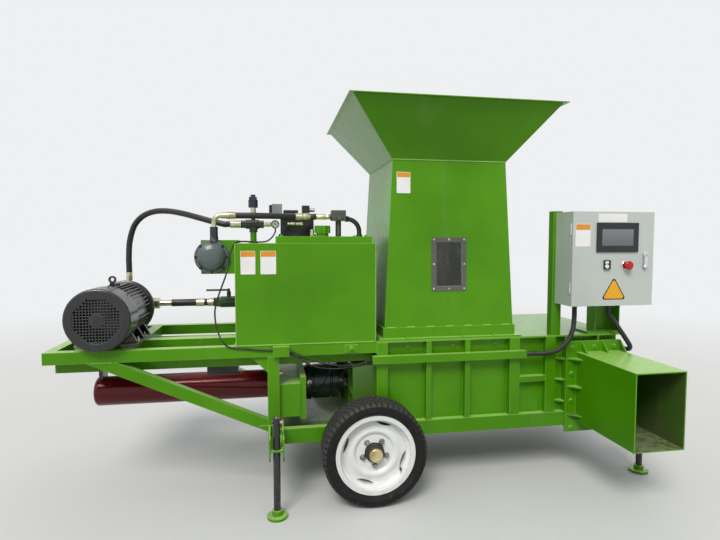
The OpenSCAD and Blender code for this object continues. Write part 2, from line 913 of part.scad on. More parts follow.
module valve_block() {
    color([0.3, 0.31, 0.3]) {
        translate([block_x, block_y, block_z])
        cube(block_size);
        rod_y(block_x + 41, 1512, 37, block_y - 8, block_y, 32);
        rod_x(line_y, return_z, 34, block_x - 8, block_x, 32);
        rod_z(block_x + 41, line_y, 34, lid_top_z, block_z, 32);
    }
    // Manifold on the lid with its plugs
    color([0.16, 0.17, 0.17])
    difference() {
        union() {
            span([manifold_x[0], manifold_y[0], lid_top_z],
                [manifold_x[1], manifold_y[1], manifold_z]);
            span([manifold_x[0] - 12, manifold_y[0] - 12, lid_top_z],
                [manifold_x[1] + 12, manifold_y[1] + 12, lid_top_z + 16]);
            for (x = [manifold_x[0] + 40, manifold_x[0] + 100, manifold_x[0] + 160])
                rod_y(x, lid_top_z + 68, 34, manifold_y[0] - 14, manifold_y[0], 6);
        }
        for (z = [lid_top_z + 36, lid_top_z + 100])
            span([manifold_x[0] - 1, manifold_y[0] - 1, z], [manifold_x[1] + 1,
                manifold_y[0] + 4, z + 4]);
    }
}

module solenoid_valves() {
    // Left face, width, height and depth of each coil or valve on the manifold
    valves = [[-470, 88, 28, 70], [-357, 45, 57, 60]];
    color([0.12, 0.13, 0.14])
    for (v = valves)
        span([v[0], -10 - v[3] / 2, manifold_z], [v[0] + v[1], -10 + v[3] / 2, manifold_z + v[2]]);
    color([0.55, 0.57, 0.56]) {
        span([-538, -45, manifold_z], [-478, 25, manifold_z + 64]);
        rod_x(-10, manifold_z + 32, 26, -312, -280, 24);
    }
    color(black)
    span([-556, -38, manifold_z + 6], [-538, 18, manifold_z + 58]);
}

// Drive

motor_z = deck_top_z + shaft_h;
cowl_y0 = -550;
cowl_y1 = -400;
body_y1 = -60;
disc_y1 = -40;
bell_y1 = 90;
pump_y1 = 250;
body_d = motor_d - 28;
fin_t = 4;
fins_in_group = 9;
fin_step = 8.5;
eye_z = motor_z + 180;
eye_y = -280;
eye_t = 16;
shield_gap = 0.3;
foot_t = 16;
foot_x = [70, 150];

module motor() {
    color(black) {
        // Body with four groups of fins
        translate([motor_x, body_y1, motor_z])
        rotate([90, 0, 0])
        linear_extrude(body_y1 - cowl_y1)
        union() {
            circle(d = body_d, $fn = 64);
            for (g = [45 : 90 : 315], k = [0 : fins_in_group - 1])
                rotate(g + (k - (fins_in_group - 1) / 2) * fin_step)
                translate([0, -fin_t / 2])
                square([motor_d / 2, fin_t]);
        }
        // Rear shield, seated in the fan cowl
        turned_y(motor_x, motor_z, cowl_y1 + 10, [[0, 0], [cowl_d / 2 - cowl_wall - shield_gap, 0],
            [cowl_d / 2 - cowl_wall - shield_gap, 22], [0, 22]]);
        // Flange at the drive end
        turned_y(motor_x, motor_z, disc_y1, [[0, 0], [shaft_h - 6, 0], [shaft_h - 2, 4],
            [shaft_h - 2, 16], [shaft_h - 10, 20], [130, 34], [0, 34]]);
        // Feet with their webs
        for (m = [0, 1])
            translate([2 * m * motor_x, 0, 0])
            mirror([m, 0, 0]) {
                span([motor_x + foot_x[0], -425, deck_top_z],
                    [motor_x + foot_x[1], -115, deck_top_z + foot_t]);
                for (y = [-395, -262, -130])
                    plate_xz([[motor_x + foot_x[0] - 10, deck_top_z + foot_t - 1],
                        [motor_x + foot_x[1] - 6, deck_top_z + foot_t - 1],
                        [motor_x + foot_x[1] - 6, deck_top_z + foot_t + 8],
                        [motor_x + 108, motor_z - 70], [motor_x + foot_x[0] - 10, motor_z - 95]],
                        y, y + 14);
            }
        // Terminal box with its lid
        span([motor_x - 200, -330, motor_z - 46], [motor_x - 120, -190, motor_z + 56]);
        span([motor_x - 210, -334, motor_z - 50], [motor_x - 200, -186, motor_z + 60]);
        // Lifting eye
        difference() {
            union() {
                rod_y(motor_x, eye_z, 38, eye_y - eye_t / 2, eye_y + eye_t / 2, 40);
                span([motor_x - 12, eye_y - eye_t / 2, motor_z + body_d / 2 - 2],
                    [motor_x + 12, eye_y + eye_t / 2, eye_z - 12]);
                rod_z(motor_x, eye_y, 38, motor_z + body_d / 2 - 8, motor_z + body_d / 2 + 10, 32);
            }
            rod_y(motor_x, eye_z, 20, eye_y - eye_t, eye_y + eye_t, 40);
        }
    }
}

cowl_wall = 4;
cowl_round = 12;
grille_open_r = 114;
grille_pitch = 14;
grille_hole = 10.5;
grille_hub_r = 30;

module fan_cowl() {
    l = cowl_y1 - cowl_y0;
    r = cowl_d / 2;
    edge = [r - cowl_round, l - cowl_round];
    n = floor(grille_open_r / grille_pitch);
    color(black) {
        turned_y(motor_x, motor_z, cowl_y1, concat([[r - cowl_wall, 0], [r, 0]],
            arc(edge, cowl_round, 0, 90), [[grille_open_r, l], [grille_open_r, l - cowl_wall]],
            arc(edge, cowl_round - cowl_wall, 90, 0)));
        // Grille of square holes, set back behind the rounded edge
        translate([motor_x, cowl_y0 + cowl_wall, motor_z])
        rotate([-90, 0, 0])
        linear_extrude(3)
        difference() {
            circle(r = grille_open_r + 6, $fn = 64);
            for (i = [-n : n], j = [-n : n])
                if (norm([i, j]) * grille_pitch < grille_open_r - 6
                    && norm([i, j]) * grille_pitch > grille_hub_r + 6)
                    translate([i, j] * grille_pitch)
                    square(grille_hole, center = true);
        }
        rod_y(motor_x, motor_z, 2 * grille_hub_r, cowl_y0 + 1, cowl_y0 + cowl_wall + 1, 48);
    }
}

module bell_housing() {
    color(black)
    turned_y(motor_x, motor_z, bell_y1, [[0, 0], [88, 0], [88, 16], [72, 22], [78, 34],
        [112, 92], [112, 114], [135, 116], [135, bell_y1 - disc_y1], [0, bell_y1 - disc_y1]]);
}

port_x = motor_x + 113;
suction_y = 120;
suction_z = 986;
pressure_y = 180;
pressure_port_z = 1175;
pump_port_x = motor_x - 35;

module pump() {
    color([0.3, 0.3, 0.3]) {
        turned_y(motor_x, motor_z, pump_y1, [[0, 0], [42, 0], [52, 6], [52, 26], [66, 30],
            [66, 96], [58, 104], [58, 140], [80, 146], [80, pump_y1 - bell_y1],
            [0, pump_y1 - bell_y1]]);
        rod_x(suction_y, suction_z, 60, motor_x, port_x - 14, 32);
        rod_x(suction_y, suction_z, 72, port_x - 14, port_x, 32);
        rod_z(pump_port_x, pressure_y, 46, motor_z, motor_z + 90, 32);
        rod_z(pump_port_x, pressure_y, 44, motor_z + 90, motor_z + 112, 6);
    }
    color(zinc) {
        rod_z(pump_port_x, pressure_y, 30, motor_z + 112, pressure_port_z - 50, 32);
        rod_z(pump_port_x, pressure_y, 38, pressure_port_z - 50, pressure_port_z, 32);
    }
}

valve_x = -812;

// Straight suction line from the pump to the tank, with its ball valve
module suction_line() {
    color(zinc) {
        rod_x(suction_y, suction_z, 66, port_x, port_x + 41, 6);
        rod_x(suction_y, suction_z, 36, port_x + 41, -1155, 32);
        rod_x(suction_y, suction_z, 50, -1008, -960, 40);
        rod_x(suction_y, suction_z, 50, -940, -905, 40);
    }
    color(black) {
        rod_x(suction_y, suction_z, 44, -1155, -1008, 40);
        rod_x(suction_y, suction_z, 44, -960, -940, 40);
        rod_x(suction_y, suction_z, 54, -905, -885, 6);
    }
    color([0.1, 0.25, 0.12]) {
        rod_x(suction_y, suction_z, 62, -885, -862, 6);
        rod_x(suction_y, suction_z, 70, -862, -770, 40);
        rod_x(suction_y, suction_z, 62, -770, tank_left_x, 6);
        rod_z(valve_x, suction_y, 26, suction_z, suction_z + 66, 24);
    }
    color(zinc) {
        rod_z(valve_x, suction_y, 16, suction_z + 66, suction_z + 84, 6);
        rod_x(suction_y, suction_z + 75, 12, valve_x - 137, valve_x + 7, 16);
    }
}

// Press

thrust_low_z = 430;
thrust_top_z = 607;
thrust_x0 = bay_post_x + post_w;
thrust_x1 = -399;
thrust_plate_t = 31;
head_x = thrust_x1 + thrust_plate_t;
head_l = 245;
cyl_wall = 14;
barrel_gap = 0.3;
hanger_x = -1505;

module main_cylinder() {
    r = main_cyl_d / 2;
    from_end = head_x - barrel_left_x;
    color(red)
    difference() {
        union() {
            // Barrel with a rounded end, and its head in front of the thrust beam
            turned_x(mid_y, press_z, barrel_left_x, concat([[0, 0], [r - 32, 0]],
                arc([r - 22, 22], 22, -60, 0, 4), [[r, from_end], [100, from_end],
                [100, from_end + 24], [108, from_end + 24], [108, from_end + 50],
                [98, from_end + 54], [98, from_end + 62], [104, from_end + 66],
                [104, from_end + 160], [96, from_end + 164], [96, from_end + 172],
                [104, from_end + 176], [104, from_end + 212], [72, from_end + 218],
                [72, from_end + head_l], [0, from_end + head_l]]));
            // Port block on the barrel
            span([-920, mid_y - 40, press_z + r - 12], [-742, mid_y + 40, press_z + r + 62]);
        }
        rod_x(mid_y, press_z, main_cyl_d - 2 * cyl_wall, barrel_left_x + 24, head_x + 140, 64);
        rod_x(mid_y, press_z, main_rod_d + 2 * bore_gap, head_x + 139, head_x + head_l + 1, 64);
    }
    // Hanger below the lower cross beam
    color(black)
    span([hanger_x, mid_y - 45, press_z + r - 6], [hanger_x + 20, mid_y + 45, under_low_z]);
    // Plugs of the two position sensors
    color(zinc) {
        rod_y(head_x + 36, press_z + 30, 26, mid_y - 134, mid_y - 98, 24);
        rod_y(head_x + 225, press_z + 24, 22, mid_y - 96, mid_y - 62, 24);
    }
}

module thrust_beam() {
    color(green)
    difference() {
        union() {
            span([thrust_x0, frame_near_y + 30, thrust_low_z],
                [thrust_x1, frame_far_y - 30, thrust_top_z]);
            span([thrust_x1, wall_near_y, thrust_low_z - 18],
                [head_x, frame_far_y - post_t, thrust_top_z + 33]);
        }
        rod_x(mid_y, press_z, main_cyl_d + 2 * barrel_gap, thrust_x0 - 1, head_x + 1, 64);
    }
}

ram_face_x = feed_left_x;
ram_block_x = 20;
ram_tail_x = -110;
ram_tail_top_z = 684;
ram_plate_t = 20;
ram_rib_t = 12;

module ram() {
    y0 = chamber_near_y + run_gap;
    y1 = chamber_far_y - run_gap;
    z0 = floor_z + run_gap;
    z1 = floor_z + bale_h - run_gap;
    pocket_w = (y1 - y0 - 5 * ram_rib_t) / 4;
    // Heights of the two rows of pockets behind the face plate
    rows = [[z0 + ram_rib_t, press_z - ram_rib_t / 2],
        [press_z + ram_rib_t / 2, ram_tail_top_z - ram_rib_t]];
    color([0.3, 0.4, 0.1])
    difference() {
        union() {
            span([ram_block_x, y0, z0], [ram_face_x, y1, z1]);
            span([ram_tail_x, y0, z0], [ram_block_x, y1, ram_tail_top_z]);
        }
        for (i = [0 : 3], row = rows)
            span([ram_tail_x - 1, y0 + ram_rib_t + i * (pocket_w + ram_rib_t), row[0]],
                [ram_face_x - ram_plate_t, y0 + (i + 1) * (pocket_w + ram_rib_t), row[1]]);
    }
    color("silver")
    rod_x(mid_y, press_z, main_rod_d, barrel_left_x + 34, ram_face_x - ram_plate_t + 1);
}

eject_rear_y = 1000;

module eject_cylinder() {
    r = eject_cyl_d / 2;
    l = eject_rear_y - frame_far_y + post_t;
    color(red)
    difference() {
        union() {
            turned_y(eject_x, eject_z, eject_rear_y, concat([[0, 0], [r - 18, 0]],
                arc([r - 12, 12], 12, -60, 0, 3), [[r, l - 96], [r + 8, l - 90],
                [r + 8, l - 62], [r, l - 56], [r, l - post_t], [r + 20, l - post_t],
                [r + 20, l], [0, l]]));
            for (y = [frame_far_y + 76, eject_rear_y - 60])
                rod_z(eject_x, y, 36, eject_z, eject_z + r + 26, 32);
        }
        rod_y(eject_x, eject_z, eject_rod_d + 2 * bore_gap, frame_far_y - post_t - 1,
            frame_far_y + 40);
        rod_y(eject_x, eject_z, eject_cyl_d - 20, frame_far_y + 40, eject_rear_y - 15);
    }
}

eject_plate_t = 40;
eject_rib_t = 12;

module eject_ram() {
    x0 = mouth_left_x + run_gap;
    x1 = chamber_right_x - run_gap;
    y1 = chamber_far_y - run_gap;
    z0 = floor_z + run_gap;
    z1 = floor_z + bale_h - run_gap;
    pocket = [(x1 - x0 - 3 * eject_rib_t) / 2, (z1 - z0 - 3 * eject_rib_t) / 2];
    color([0.3, 0.4, 0.1])
    difference() {
        span([x0, y1 - eject_plate_t, z0], [x1, y1, z1]);
        for (i = [0, 1], k = [0, 1])
            translate([x0 + eject_rib_t + i * (pocket[0] + eject_rib_t),
                y1 - eject_plate_t + eject_rib_t, z0 + eject_rib_t + k * (pocket[1] + eject_rib_t)])
            cube([pocket[0], eject_plate_t, pocket[1]]);
    }
    color("silver")
    rod_y(eject_x, eject_z, eject_rod_d, y1 - eject_plate_t + eject_rib_t - 1,
        eject_rear_y - 25);
}

// Electrics

tube_d = 30;
tube_left_x = -14;
tube_right_x = 873;
tube_z = [708, 750];
clip_x = [-541, -458];
clip_z = [768, 822];

module cable_tube() {
    color(green) {
        span([tube_left_x, frame_near_y - tube_d, tube_z[0]],
            [tube_right_x, frame_near_y, tube_z[1]]);
        span([clip_x[0], frame_near_y - tube_d, clip_z[0]],
            [clip_x[1], frame_near_y, clip_z[1]]);
    }
}

cabinet_back_y = -495;
cabinet_front_y = cabinet_back_y - cabinet_d;
door_back_y = cabinet_front_y + door_t;
door_gap = 0.3;
cabinet_top_z = cabinet_z + cabinet_h;
cabinet_wall = 3;
knuckle_d = 12;
knuckle_l = 30;
pin_d = 6;
// Foot of each hinge, above the cabinet's underside
hinge_z = [70, 390];
gland_y = -570;
gland_x = [cabinet_x + 78, cabinet_x + 287];
gland_h = 12;

module cabinet_box() {
    color([0.7, 0.74, 0.72]) {
        difference() {
            span([cabinet_x, door_back_y + door_gap, cabinet_z],
                [cabinet_x + cabinet_w, cabinet_back_y, cabinet_top_z]);
            span([cabinet_x + cabinet_wall, door_back_y - 1, cabinet_z + cabinet_wall],
                [cabinet_x + cabinet_w - cabinet_wall, cabinet_back_y - cabinet_wall,
                cabinet_top_z - cabinet_wall]);
            for (z = hinge_z)
                rod_z(cabinet_x, door_back_y, knuckle_d + 1, cabinet_z + z + knuckle_l,
                    cabinet_z + z + 2 * knuckle_l + 1, 32);
        }
        for (z = hinge_z) {
            rod_z(cabinet_x, door_back_y, knuckle_d, cabinet_z + z, cabinet_z + z + knuckle_l, 32);
            rod_z(cabinet_x, door_back_y, pin_d, cabinet_z + z, cabinet_z + z + 2 * knuckle_l, 24);
        }
    }
    color(black)
    for (x = gland_x)
        rod_z(x, gland_y, 38, cabinet_z - gland_h, cabinet_z, 6);
}

module cabinet_door() {
    color([0.7, 0.74, 0.72])
    difference() {
        union() {
            difference() {
                span([cabinet_x, cabinet_front_y, cabinet_z],
                    [cabinet_x + cabinet_w, door_back_y, cabinet_top_z]);
                for (z = hinge_z)
                    rod_z(cabinet_x, door_back_y, knuckle_d + 1, cabinet_z + z - 1,
                        cabinet_z + z + knuckle_l + 1, 32);
            }
            for (z = hinge_z)
                rod_z(cabinet_x, door_back_y, knuckle_d, cabinet_z + z + knuckle_l + 0.5,
                    cabinet_z + z + 2 * knuckle_l, 32);
        }
        for (z = hinge_z)
            rod_z(cabinet_x, door_back_y, pin_d + 2 * shaft_gap, cabinet_z + z + knuckle_l - 1,
                cabinet_z + z + 2 * knuckle_l + 1, 24);
    }
}

// Places on the door, from the cabinet's left edge and underside
screen_at = [140, 296];
screen_size = [252, 160];
twin_at = [187, 202];
mushroom_at = [326, 223];
latch_at = [424, 209];

module touch_screen() {
    color(black)
    translate([cabinet_x + screen_at[0], cabinet_front_y - 8, cabinet_z + screen_at[1]])
    difference() {
        cube([screen_size[0], 8, screen_size[1]]);
        translate([30, -1, 34])
        cube([screen_size[0] - 60, 3, screen_size[1] - 68]);
    }
}

module door_controls() {
    color("red")
    turned_y(cabinet_x + mushroom_at[0], cabinet_z + mushroom_at[1], cabinet_front_y,
        concat([[0, 0], [20, 0], [20, 6], [13, 8], [13, 16], [24, 20]],
        arc([18, 26], 6, 0, 90, 3), [[0, 34]]), 40);
    color(black)
    translate([cabinet_x + twin_at[0], cabinet_front_y - 12, cabinet_z + twin_at[1]])
    cube([36, 12, 50]);
    color("silver") {
        translate([cabinet_x + latch_at[0], cabinet_front_y - 6, cabinet_z + latch_at[1]])
        cube([30, 6, 88]);
        translate([cabinet_x + latch_at[0] + 7, cabinet_front_y - 16,
            cabinet_z + latch_at[1] + 8])
        cube([16, 10, 66]);
    }
}

stand_post_w = 56;
stand_left_x = cabinet_x - 16;
pedestal_x = [1318, 1478];
pedestal_foot_x = 1278;
pedestal_t = 6;

module cabinet_stand() {
    color(green) {
        span([stand_left_x, cabinet_back_y, plate_top_z],
            [stand_left_x + stand_post_w, cabinet_back_y + 50, cabinet_top_z + 10]);
        span([pedestal_foot_x, cabinet_back_y, plate_top_z],
            [pedestal_x[1], cabinet_back_y + 165, plate_top_z + 10]);
        // Channel, open towards the operator
        translate([0, 0, plate_top_z + 10])
        linear_extrude(cabinet_z + 200 - plate_top_z - 10)
        polygon([[pedestal_x[0], cabinet_back_y], [pedestal_x[0] + pedestal_t, cabinet_back_y],
            [pedestal_x[0] + pedestal_t, cabinet_back_y + 80 - pedestal_t],
            [pedestal_x[1] - pedestal_t, cabinet_back_y + 80 - pedestal_t],
            [pedestal_x[1] - pedestal_t, cabinet_back_y], [pedestal_x[1], cabinet_back_y],
            [pedestal_x[1], cabinet_back_y + 80], [pedestal_x[0], cabinet_back_y + 80]]);
    }
}

// Jacks

bracket_z = 276;
bracket_h = 125;
cheek_t = 8;
foot_h = 14;
collar_h = 26;

// A leg with a rounded top, its foot plate and collar; a right foot has eight sides
module jack(x, y, corners) {
    r = jack_d / 2;
    color(black) {
        turned_z(x, y, concat([[0, foot_h - 2], [r, foot_h - 2]], arc([r - 12, jack_h - 12], 12, 0, 90, 4),
            [[0, jack_h]]), 32);
        rod_x(y, jack_h - 32, 14, x - r - 6, x + r + 16, 24);
        rod_x(y, jack_h - 32, 24, x + r + 8, x + r + 16, 6);
    }
    color(green) {
        translate([x, y, 0])
        rotate([0, 0, 180 / corners])
        cylinder(h = foot_h, d = corners > 12 ? foot_d : foot_d / cos(180 / corners),
            $fn = corners);
        rod_z(x, y, 52, foot_h, foot_h + collar_h, 32);
    }
}

module jack_left_near() {
    jack(jack_left_x, jack_left_y, 40);
}

module jack_left_far() {
    mirror_y()
    jack(jack_left_x, jack_left_y, 40);
}

module jack_right_near() {
    jack(jack_right_x, jack_right_y, 8);
}

module jack_right_far() {
    mirror_y()
    jack(jack_right_x, jack_right_y, 8);
}

// Two cheeks and a cross plate, reaching from x = 0 outwards to the jack's tube
module jack_bracket(reach) {
    difference() {
        union() {
            for (s = [-1, 1])
                translate([0, s * (bracket_w / 2 - cheek_t / 2) - cheek_t / 2, bracket_h])
                rotate([-90, 0, 0])
                linear_extrude(cheek_t)
                polygon([[0, 0], [reach + 22, 0], [reach + 22, bracket_h - 36],
                    [reach - 14, bracket_h], [0, bracket_h]]);
            translate([0, -bracket_w / 2 + cheek_t, 62])
            cube([reach + 22, bracket_w - 2 * cheek_t, cheek_t]);
        }
        translate([reach, 0, 61])
        cylinder(h = cheek_t + 2, d = jack_d + 2 * bore_gap, $fn = 48);
    }
}

module jack_brackets() {
    color(green)
    for (m = [0, 1])
        translate([0, m * 2 * mid_y, 0])
        mirror([0, m, 0]) {
            translate([jack_left_x, frame_near_y, bracket_z])
            rotate([0, 0, -90])
            jack_bracket(frame_near_y - jack_left_y);
            translate([end_beam_x + end_beam_w, jack_right_y, bracket_z])
            jack_bracket(jack_right_x - end_beam_x - end_beam_w);
        }
}

// Hoses and cables along routes whose points are chosen by hand

pressure_route = [[-1415, 180, 1175], [-1415, 180, 1195], [-1415, 180, 1215], [-1415, 180, 1273],
    [-1407, 180, 1368], [-1375, 165, 1462], [-1317, 135, 1520], [-1241, 95, 1547],
    [-1154, 45, 1548], [-1057, -15, 1531], [-961, -80, 1505], [-886, -125, 1484],
    [-811, -150, 1466], [-793, -150, 1466], [-775, -150, 1466]];
return_route = [[-790, -237, 1512], [-765, -237, 1512], [-740, -237, 1512],
    [-640, -228, 1512], [-540, -205, 1512], [-460, -176, 1512], [-410, -155, 1512],
    [-388, -150, 1512], [-373, -150, 1512], [-358, -150, 1512]];
conduit_route = [[873, -516, 729], [895, -516, 729], [920, -516, 729], [1000, -522, 730],
    [1060, -535, 748], [1110, -552, 800], [1132, -565, 870], [1136, -570, 940],
    [1136, -570, 975], [1136, -570, 1001]];
outlet_route = [[1345, -570, 1001], [1345, -570, 988], [1345, -570, 975], [1354, -570, 950],
    [1388, -566, 912], [1433, -560, 858], [1484, -548, 800], [1522, -532, 758],
    [1550, -495, 730], [1558, -458, 720], [1554, -432, 720], [1544, -424, 720],
    [1532, -424, 720], [1520, -424, 720]];
// Two leads that sag from the clip to the cable tube, then the leads of the two sensors
upper_lead = [[-458, -519, 793], [-451, -519, 793], [-444, -519, 793], [-398, -519, 770],
    [-326, -519, 737], [-211, -519, 710], [-151, -519, 706], [-69, -519, 716],
    [-44, -519, 724], [-29, -519, 724], [-14, -519, 724]];
lower_lead = [[-458, -512, 783], [-451, -512, 783], [-444, -512, 783], [-398, -512, 748],
    [-326, -512, 708], [-277, -512, 696], [-211, -512, 690], [-151, -512, 693],
    [-69, -512, 702], [-44, -512, 712], [-29, -512, 712], [-14, -512, 712]];
left_sensor_lead = [[-458, -505, 775], [-449, -505, 773], [-440, -505, 771], [-330, -500, 735],
    [-240, -470, 700], [-225, -420, 668], [-238, -380, 630], [-262, -330, 560],
    [-300, -290, 500], [-330, -268, 538], [-332, -252, 545], [-332, -243, 545],
    [-332, -234, 545]];
gauge_lead = [[-521, -151, 1442], [-521, -151, 1432], [-521, -151, 1422], [-541, -165, 1390],
    [-575, -188, 1367], [-640, -196, 1364], [-700, -204, 1367], [-738, -246, 1362],
    [-752, -300, 1342], [-768, -370, 1280],
    [-780, -420, 1195], [-815, -440, 1095], [-835, -450, 1020], [-834, -462, 955],
    [-818, -482, 895], [-796, -502, 855], [-760, -507, 824], [-676, -507, 812],
    [-600, -507, 802], [-565, -507, 800],
    [-553, -507, 800], [-541, -507, 800]];
lead_d = 7;

module pressure_hose() {
    color(black)
    hose(pressure_route, 36, [1, 0, 0]);
}

module return_hose() {
    color(black)
    hose(return_route, 36, [0, 0, 1]);
    color(zinc)
    rod_x(line_y, return_z, 41, -358, -317, 32);
    color(black)
    rod_x(line_y, return_z, 36, -317, -281, 32);
    color(zinc) {
        rod_x(line_y, return_z, 32, -281, -222, 32);
        rod_x(line_y, return_z, 36, -222, block_x - 8, 6);
    }
}

module cable_conduit() {
    color(black) {
        hose(conduit_route, 27, [0, 0, 1]);
        hose(outlet_route, 27, [1, 0, 0]);
        hose(gauge_lead, lead_d + 2, [0, 1, 0], 2);
        hose(upper_lead, lead_d, [0, 1, 0]);
        hose(lower_lead, lead_d, [0, 1, 0]);
        hose(left_sensor_lead, lead_d, [0, 1, 0]);
    }
}

deck_side_beam_near();
deck_side_beam_far();
deck_cross_beams();
deck_inner_rails();
under_beams();
brace_near();
brace_far();
bay_post_near();
bay_post_far();
bottom_beam_near();
bottom_beam_far();
bottom_cross_beams();
axle();
chamber_wall_near();
chamber_wall_far();
chamber_liner();
top_plate();
hopper_base();
hopper_shaft();
hopper_flare();
window_frame();
window_pane();
oil_tank();
tank_lid();
filler_cap();
return_filter();
pressure_fittings();
valve_block();
solenoid_valves();
motor();
fan_cowl();
bell_housing();
pump();
main_cylinder();
thrust_beam();
ram();
eject_cylinder();
eject_ram();
chute();
cable_tube();
cabinet_box();
cabinet_door();
touch_screen();
door_controls();
cabinet_stand();
tyre_near();
rim_near();
hub_near();
tyre_far();
rim_far();
hub_far();
jack_left_near();
jack_left_far();
jack_right_near();
jack_right_far();
jack_brackets();
pressure_hose();
return_hose();
suction_line();
cable_conduit();
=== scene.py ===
"""Looks of the square baler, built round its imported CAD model."""

import math

import bmesh
import bpy
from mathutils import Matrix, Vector
from mathutils.bvhtree import BVHTree


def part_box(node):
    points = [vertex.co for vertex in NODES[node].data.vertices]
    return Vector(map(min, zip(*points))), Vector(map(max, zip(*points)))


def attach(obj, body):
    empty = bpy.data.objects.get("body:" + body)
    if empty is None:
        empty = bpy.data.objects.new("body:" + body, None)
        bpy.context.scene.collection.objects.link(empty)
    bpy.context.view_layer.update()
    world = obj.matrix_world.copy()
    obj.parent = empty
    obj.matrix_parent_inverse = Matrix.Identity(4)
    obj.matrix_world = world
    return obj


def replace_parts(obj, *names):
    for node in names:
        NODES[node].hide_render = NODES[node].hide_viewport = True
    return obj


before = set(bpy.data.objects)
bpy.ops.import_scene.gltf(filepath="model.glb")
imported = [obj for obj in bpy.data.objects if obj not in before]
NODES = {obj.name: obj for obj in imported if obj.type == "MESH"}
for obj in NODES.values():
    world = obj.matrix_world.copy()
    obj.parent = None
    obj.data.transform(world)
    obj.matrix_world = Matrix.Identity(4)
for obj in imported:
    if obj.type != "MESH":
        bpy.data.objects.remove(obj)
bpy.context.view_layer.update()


def in_scene(name, data):
    """A new object of the scene with this mesh, camera or light."""
    made = bpy.data.objects.new(name, data)
    bpy.context.scene.collection.objects.link(made)
    return made


# Camera, fitted to the straight edges of the photograph

camera_data = bpy.data.cameras.new("camera")
camera_data.sensor_width = 36.0
camera_data.lens = 25.25
camera = in_scene("camera", camera_data)
camera.location = (-0.542, -3.15, 1.375)
camera.rotation_euler = (math.radians(86.6), 0.0, math.radians(-9.9))
bpy.context.scene.camera = camera

# Directions and places that several pieces share

X = Vector((1, 0, 0))
Y = Vector((0, 1, 0))
Z = Vector((0, 0, 1))
MM = 0.001
# The middle plane of the press and the height of its ram
MID_Y = -0.1
RAM_Z = 0.515


def at(x, y, z):
    """A point given in millimetres."""
    return Vector((x, y, z)) * MM


def low(node):
    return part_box(node)[0]


def high(node):
    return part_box(node)[1]


def middle(node):
    return (low(node) + high(node)) / 2


def size(node):
    return high(node) - low(node)


FRAME_Y = low("chamber_wall_near").y
DECK_Z = high("deck_side_beam_near").z
TYRE_R = size("tyre_near").z / 2
MOTOR = Vector((middle("fan_cowl").x, 0.0, middle("fan_cowl").z))
HOPPER_X = middle("hopper_shaft").x
# Lines of sight start here: clear of the frame's near side, and clear of the whole machine
CLEAR_Y = FRAME_Y - 0.2
OUTSIDE_Y = -1.0

trees = {}


def land(node, start, direction):
    """The point where a straight line from start first meets a CAD node."""
    if node not in trees:
        mesh = NODES[node].data
        trees[node] = BVHTree.FromPolygons(
            [v.co.copy() for v in mesh.vertices], [p.vertices[:] for p in mesh.polygons]
        )
    hit = trees[node].ray_cast(Vector(start), Vector(direction).normalized())
    if hit[0] is None:
        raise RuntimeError(f"nothing of {node} lies ahead of {tuple(start)}")
    return hit[0]


# Materials


def srgb(red, green, blue):
    """A colour as read in a picture, from 0 to 255, in the linear values of a shader."""
    linear = []
    for channel in (red, green, blue):
        c = channel / 255
        linear.append(c / 12.92 if c <= 0.04045 else ((c + 0.055) / 1.055) ** 2.4)
    return (*linear, 1.0)


DUST = srgb(176, 168, 148)
MUD = srgb(112, 98, 78)


class Nodes:
    """A shader's node tree, with short ways to add and join nodes."""

    def __init__(self, tree):
        self.tree = tree

    def put(self, value, socket):
        """A number, a colour or another node's output on a socket."""
        if isinstance(value, bpy.types.NodeSocket):
            self.tree.links.new(value, socket)
        else:
            socket.default_value = value

    def add(self, kind, inputs=None, **settings):
        """A new node with these settings, and these values or outputs on its inputs."""
        node = self.tree.nodes.new(kind)
        for key, value in settings.items():
            setattr(node, key, value)
        for key, value in (inputs or {}).items():
            self.put(value, node.inputs[key])
        return node

    def math(self, operation, a, b):
        return self.add("ShaderNodeMath", {0: a, 1: b}, operation=operation,
                        use_clamp=True).outputs[0]

    def mix(self, share, a, b):
        return self.add("ShaderNodeMix", {0: share, 6: a, 7: b}, data_type="RGBA").outputs[2]

    def looking_rays(self):
        """1 for camera, glossy and transmission rays, and 0 for those that only light."""
        rays = self.add("ShaderNodeLightPath").outputs
        bent = self.math("MAXIMUM", rays["Is Glossy Ray"], rays["Is Transmission Ray"])
        return self.math("MAXIMUM", rays["Is Camera Ray"], bent)


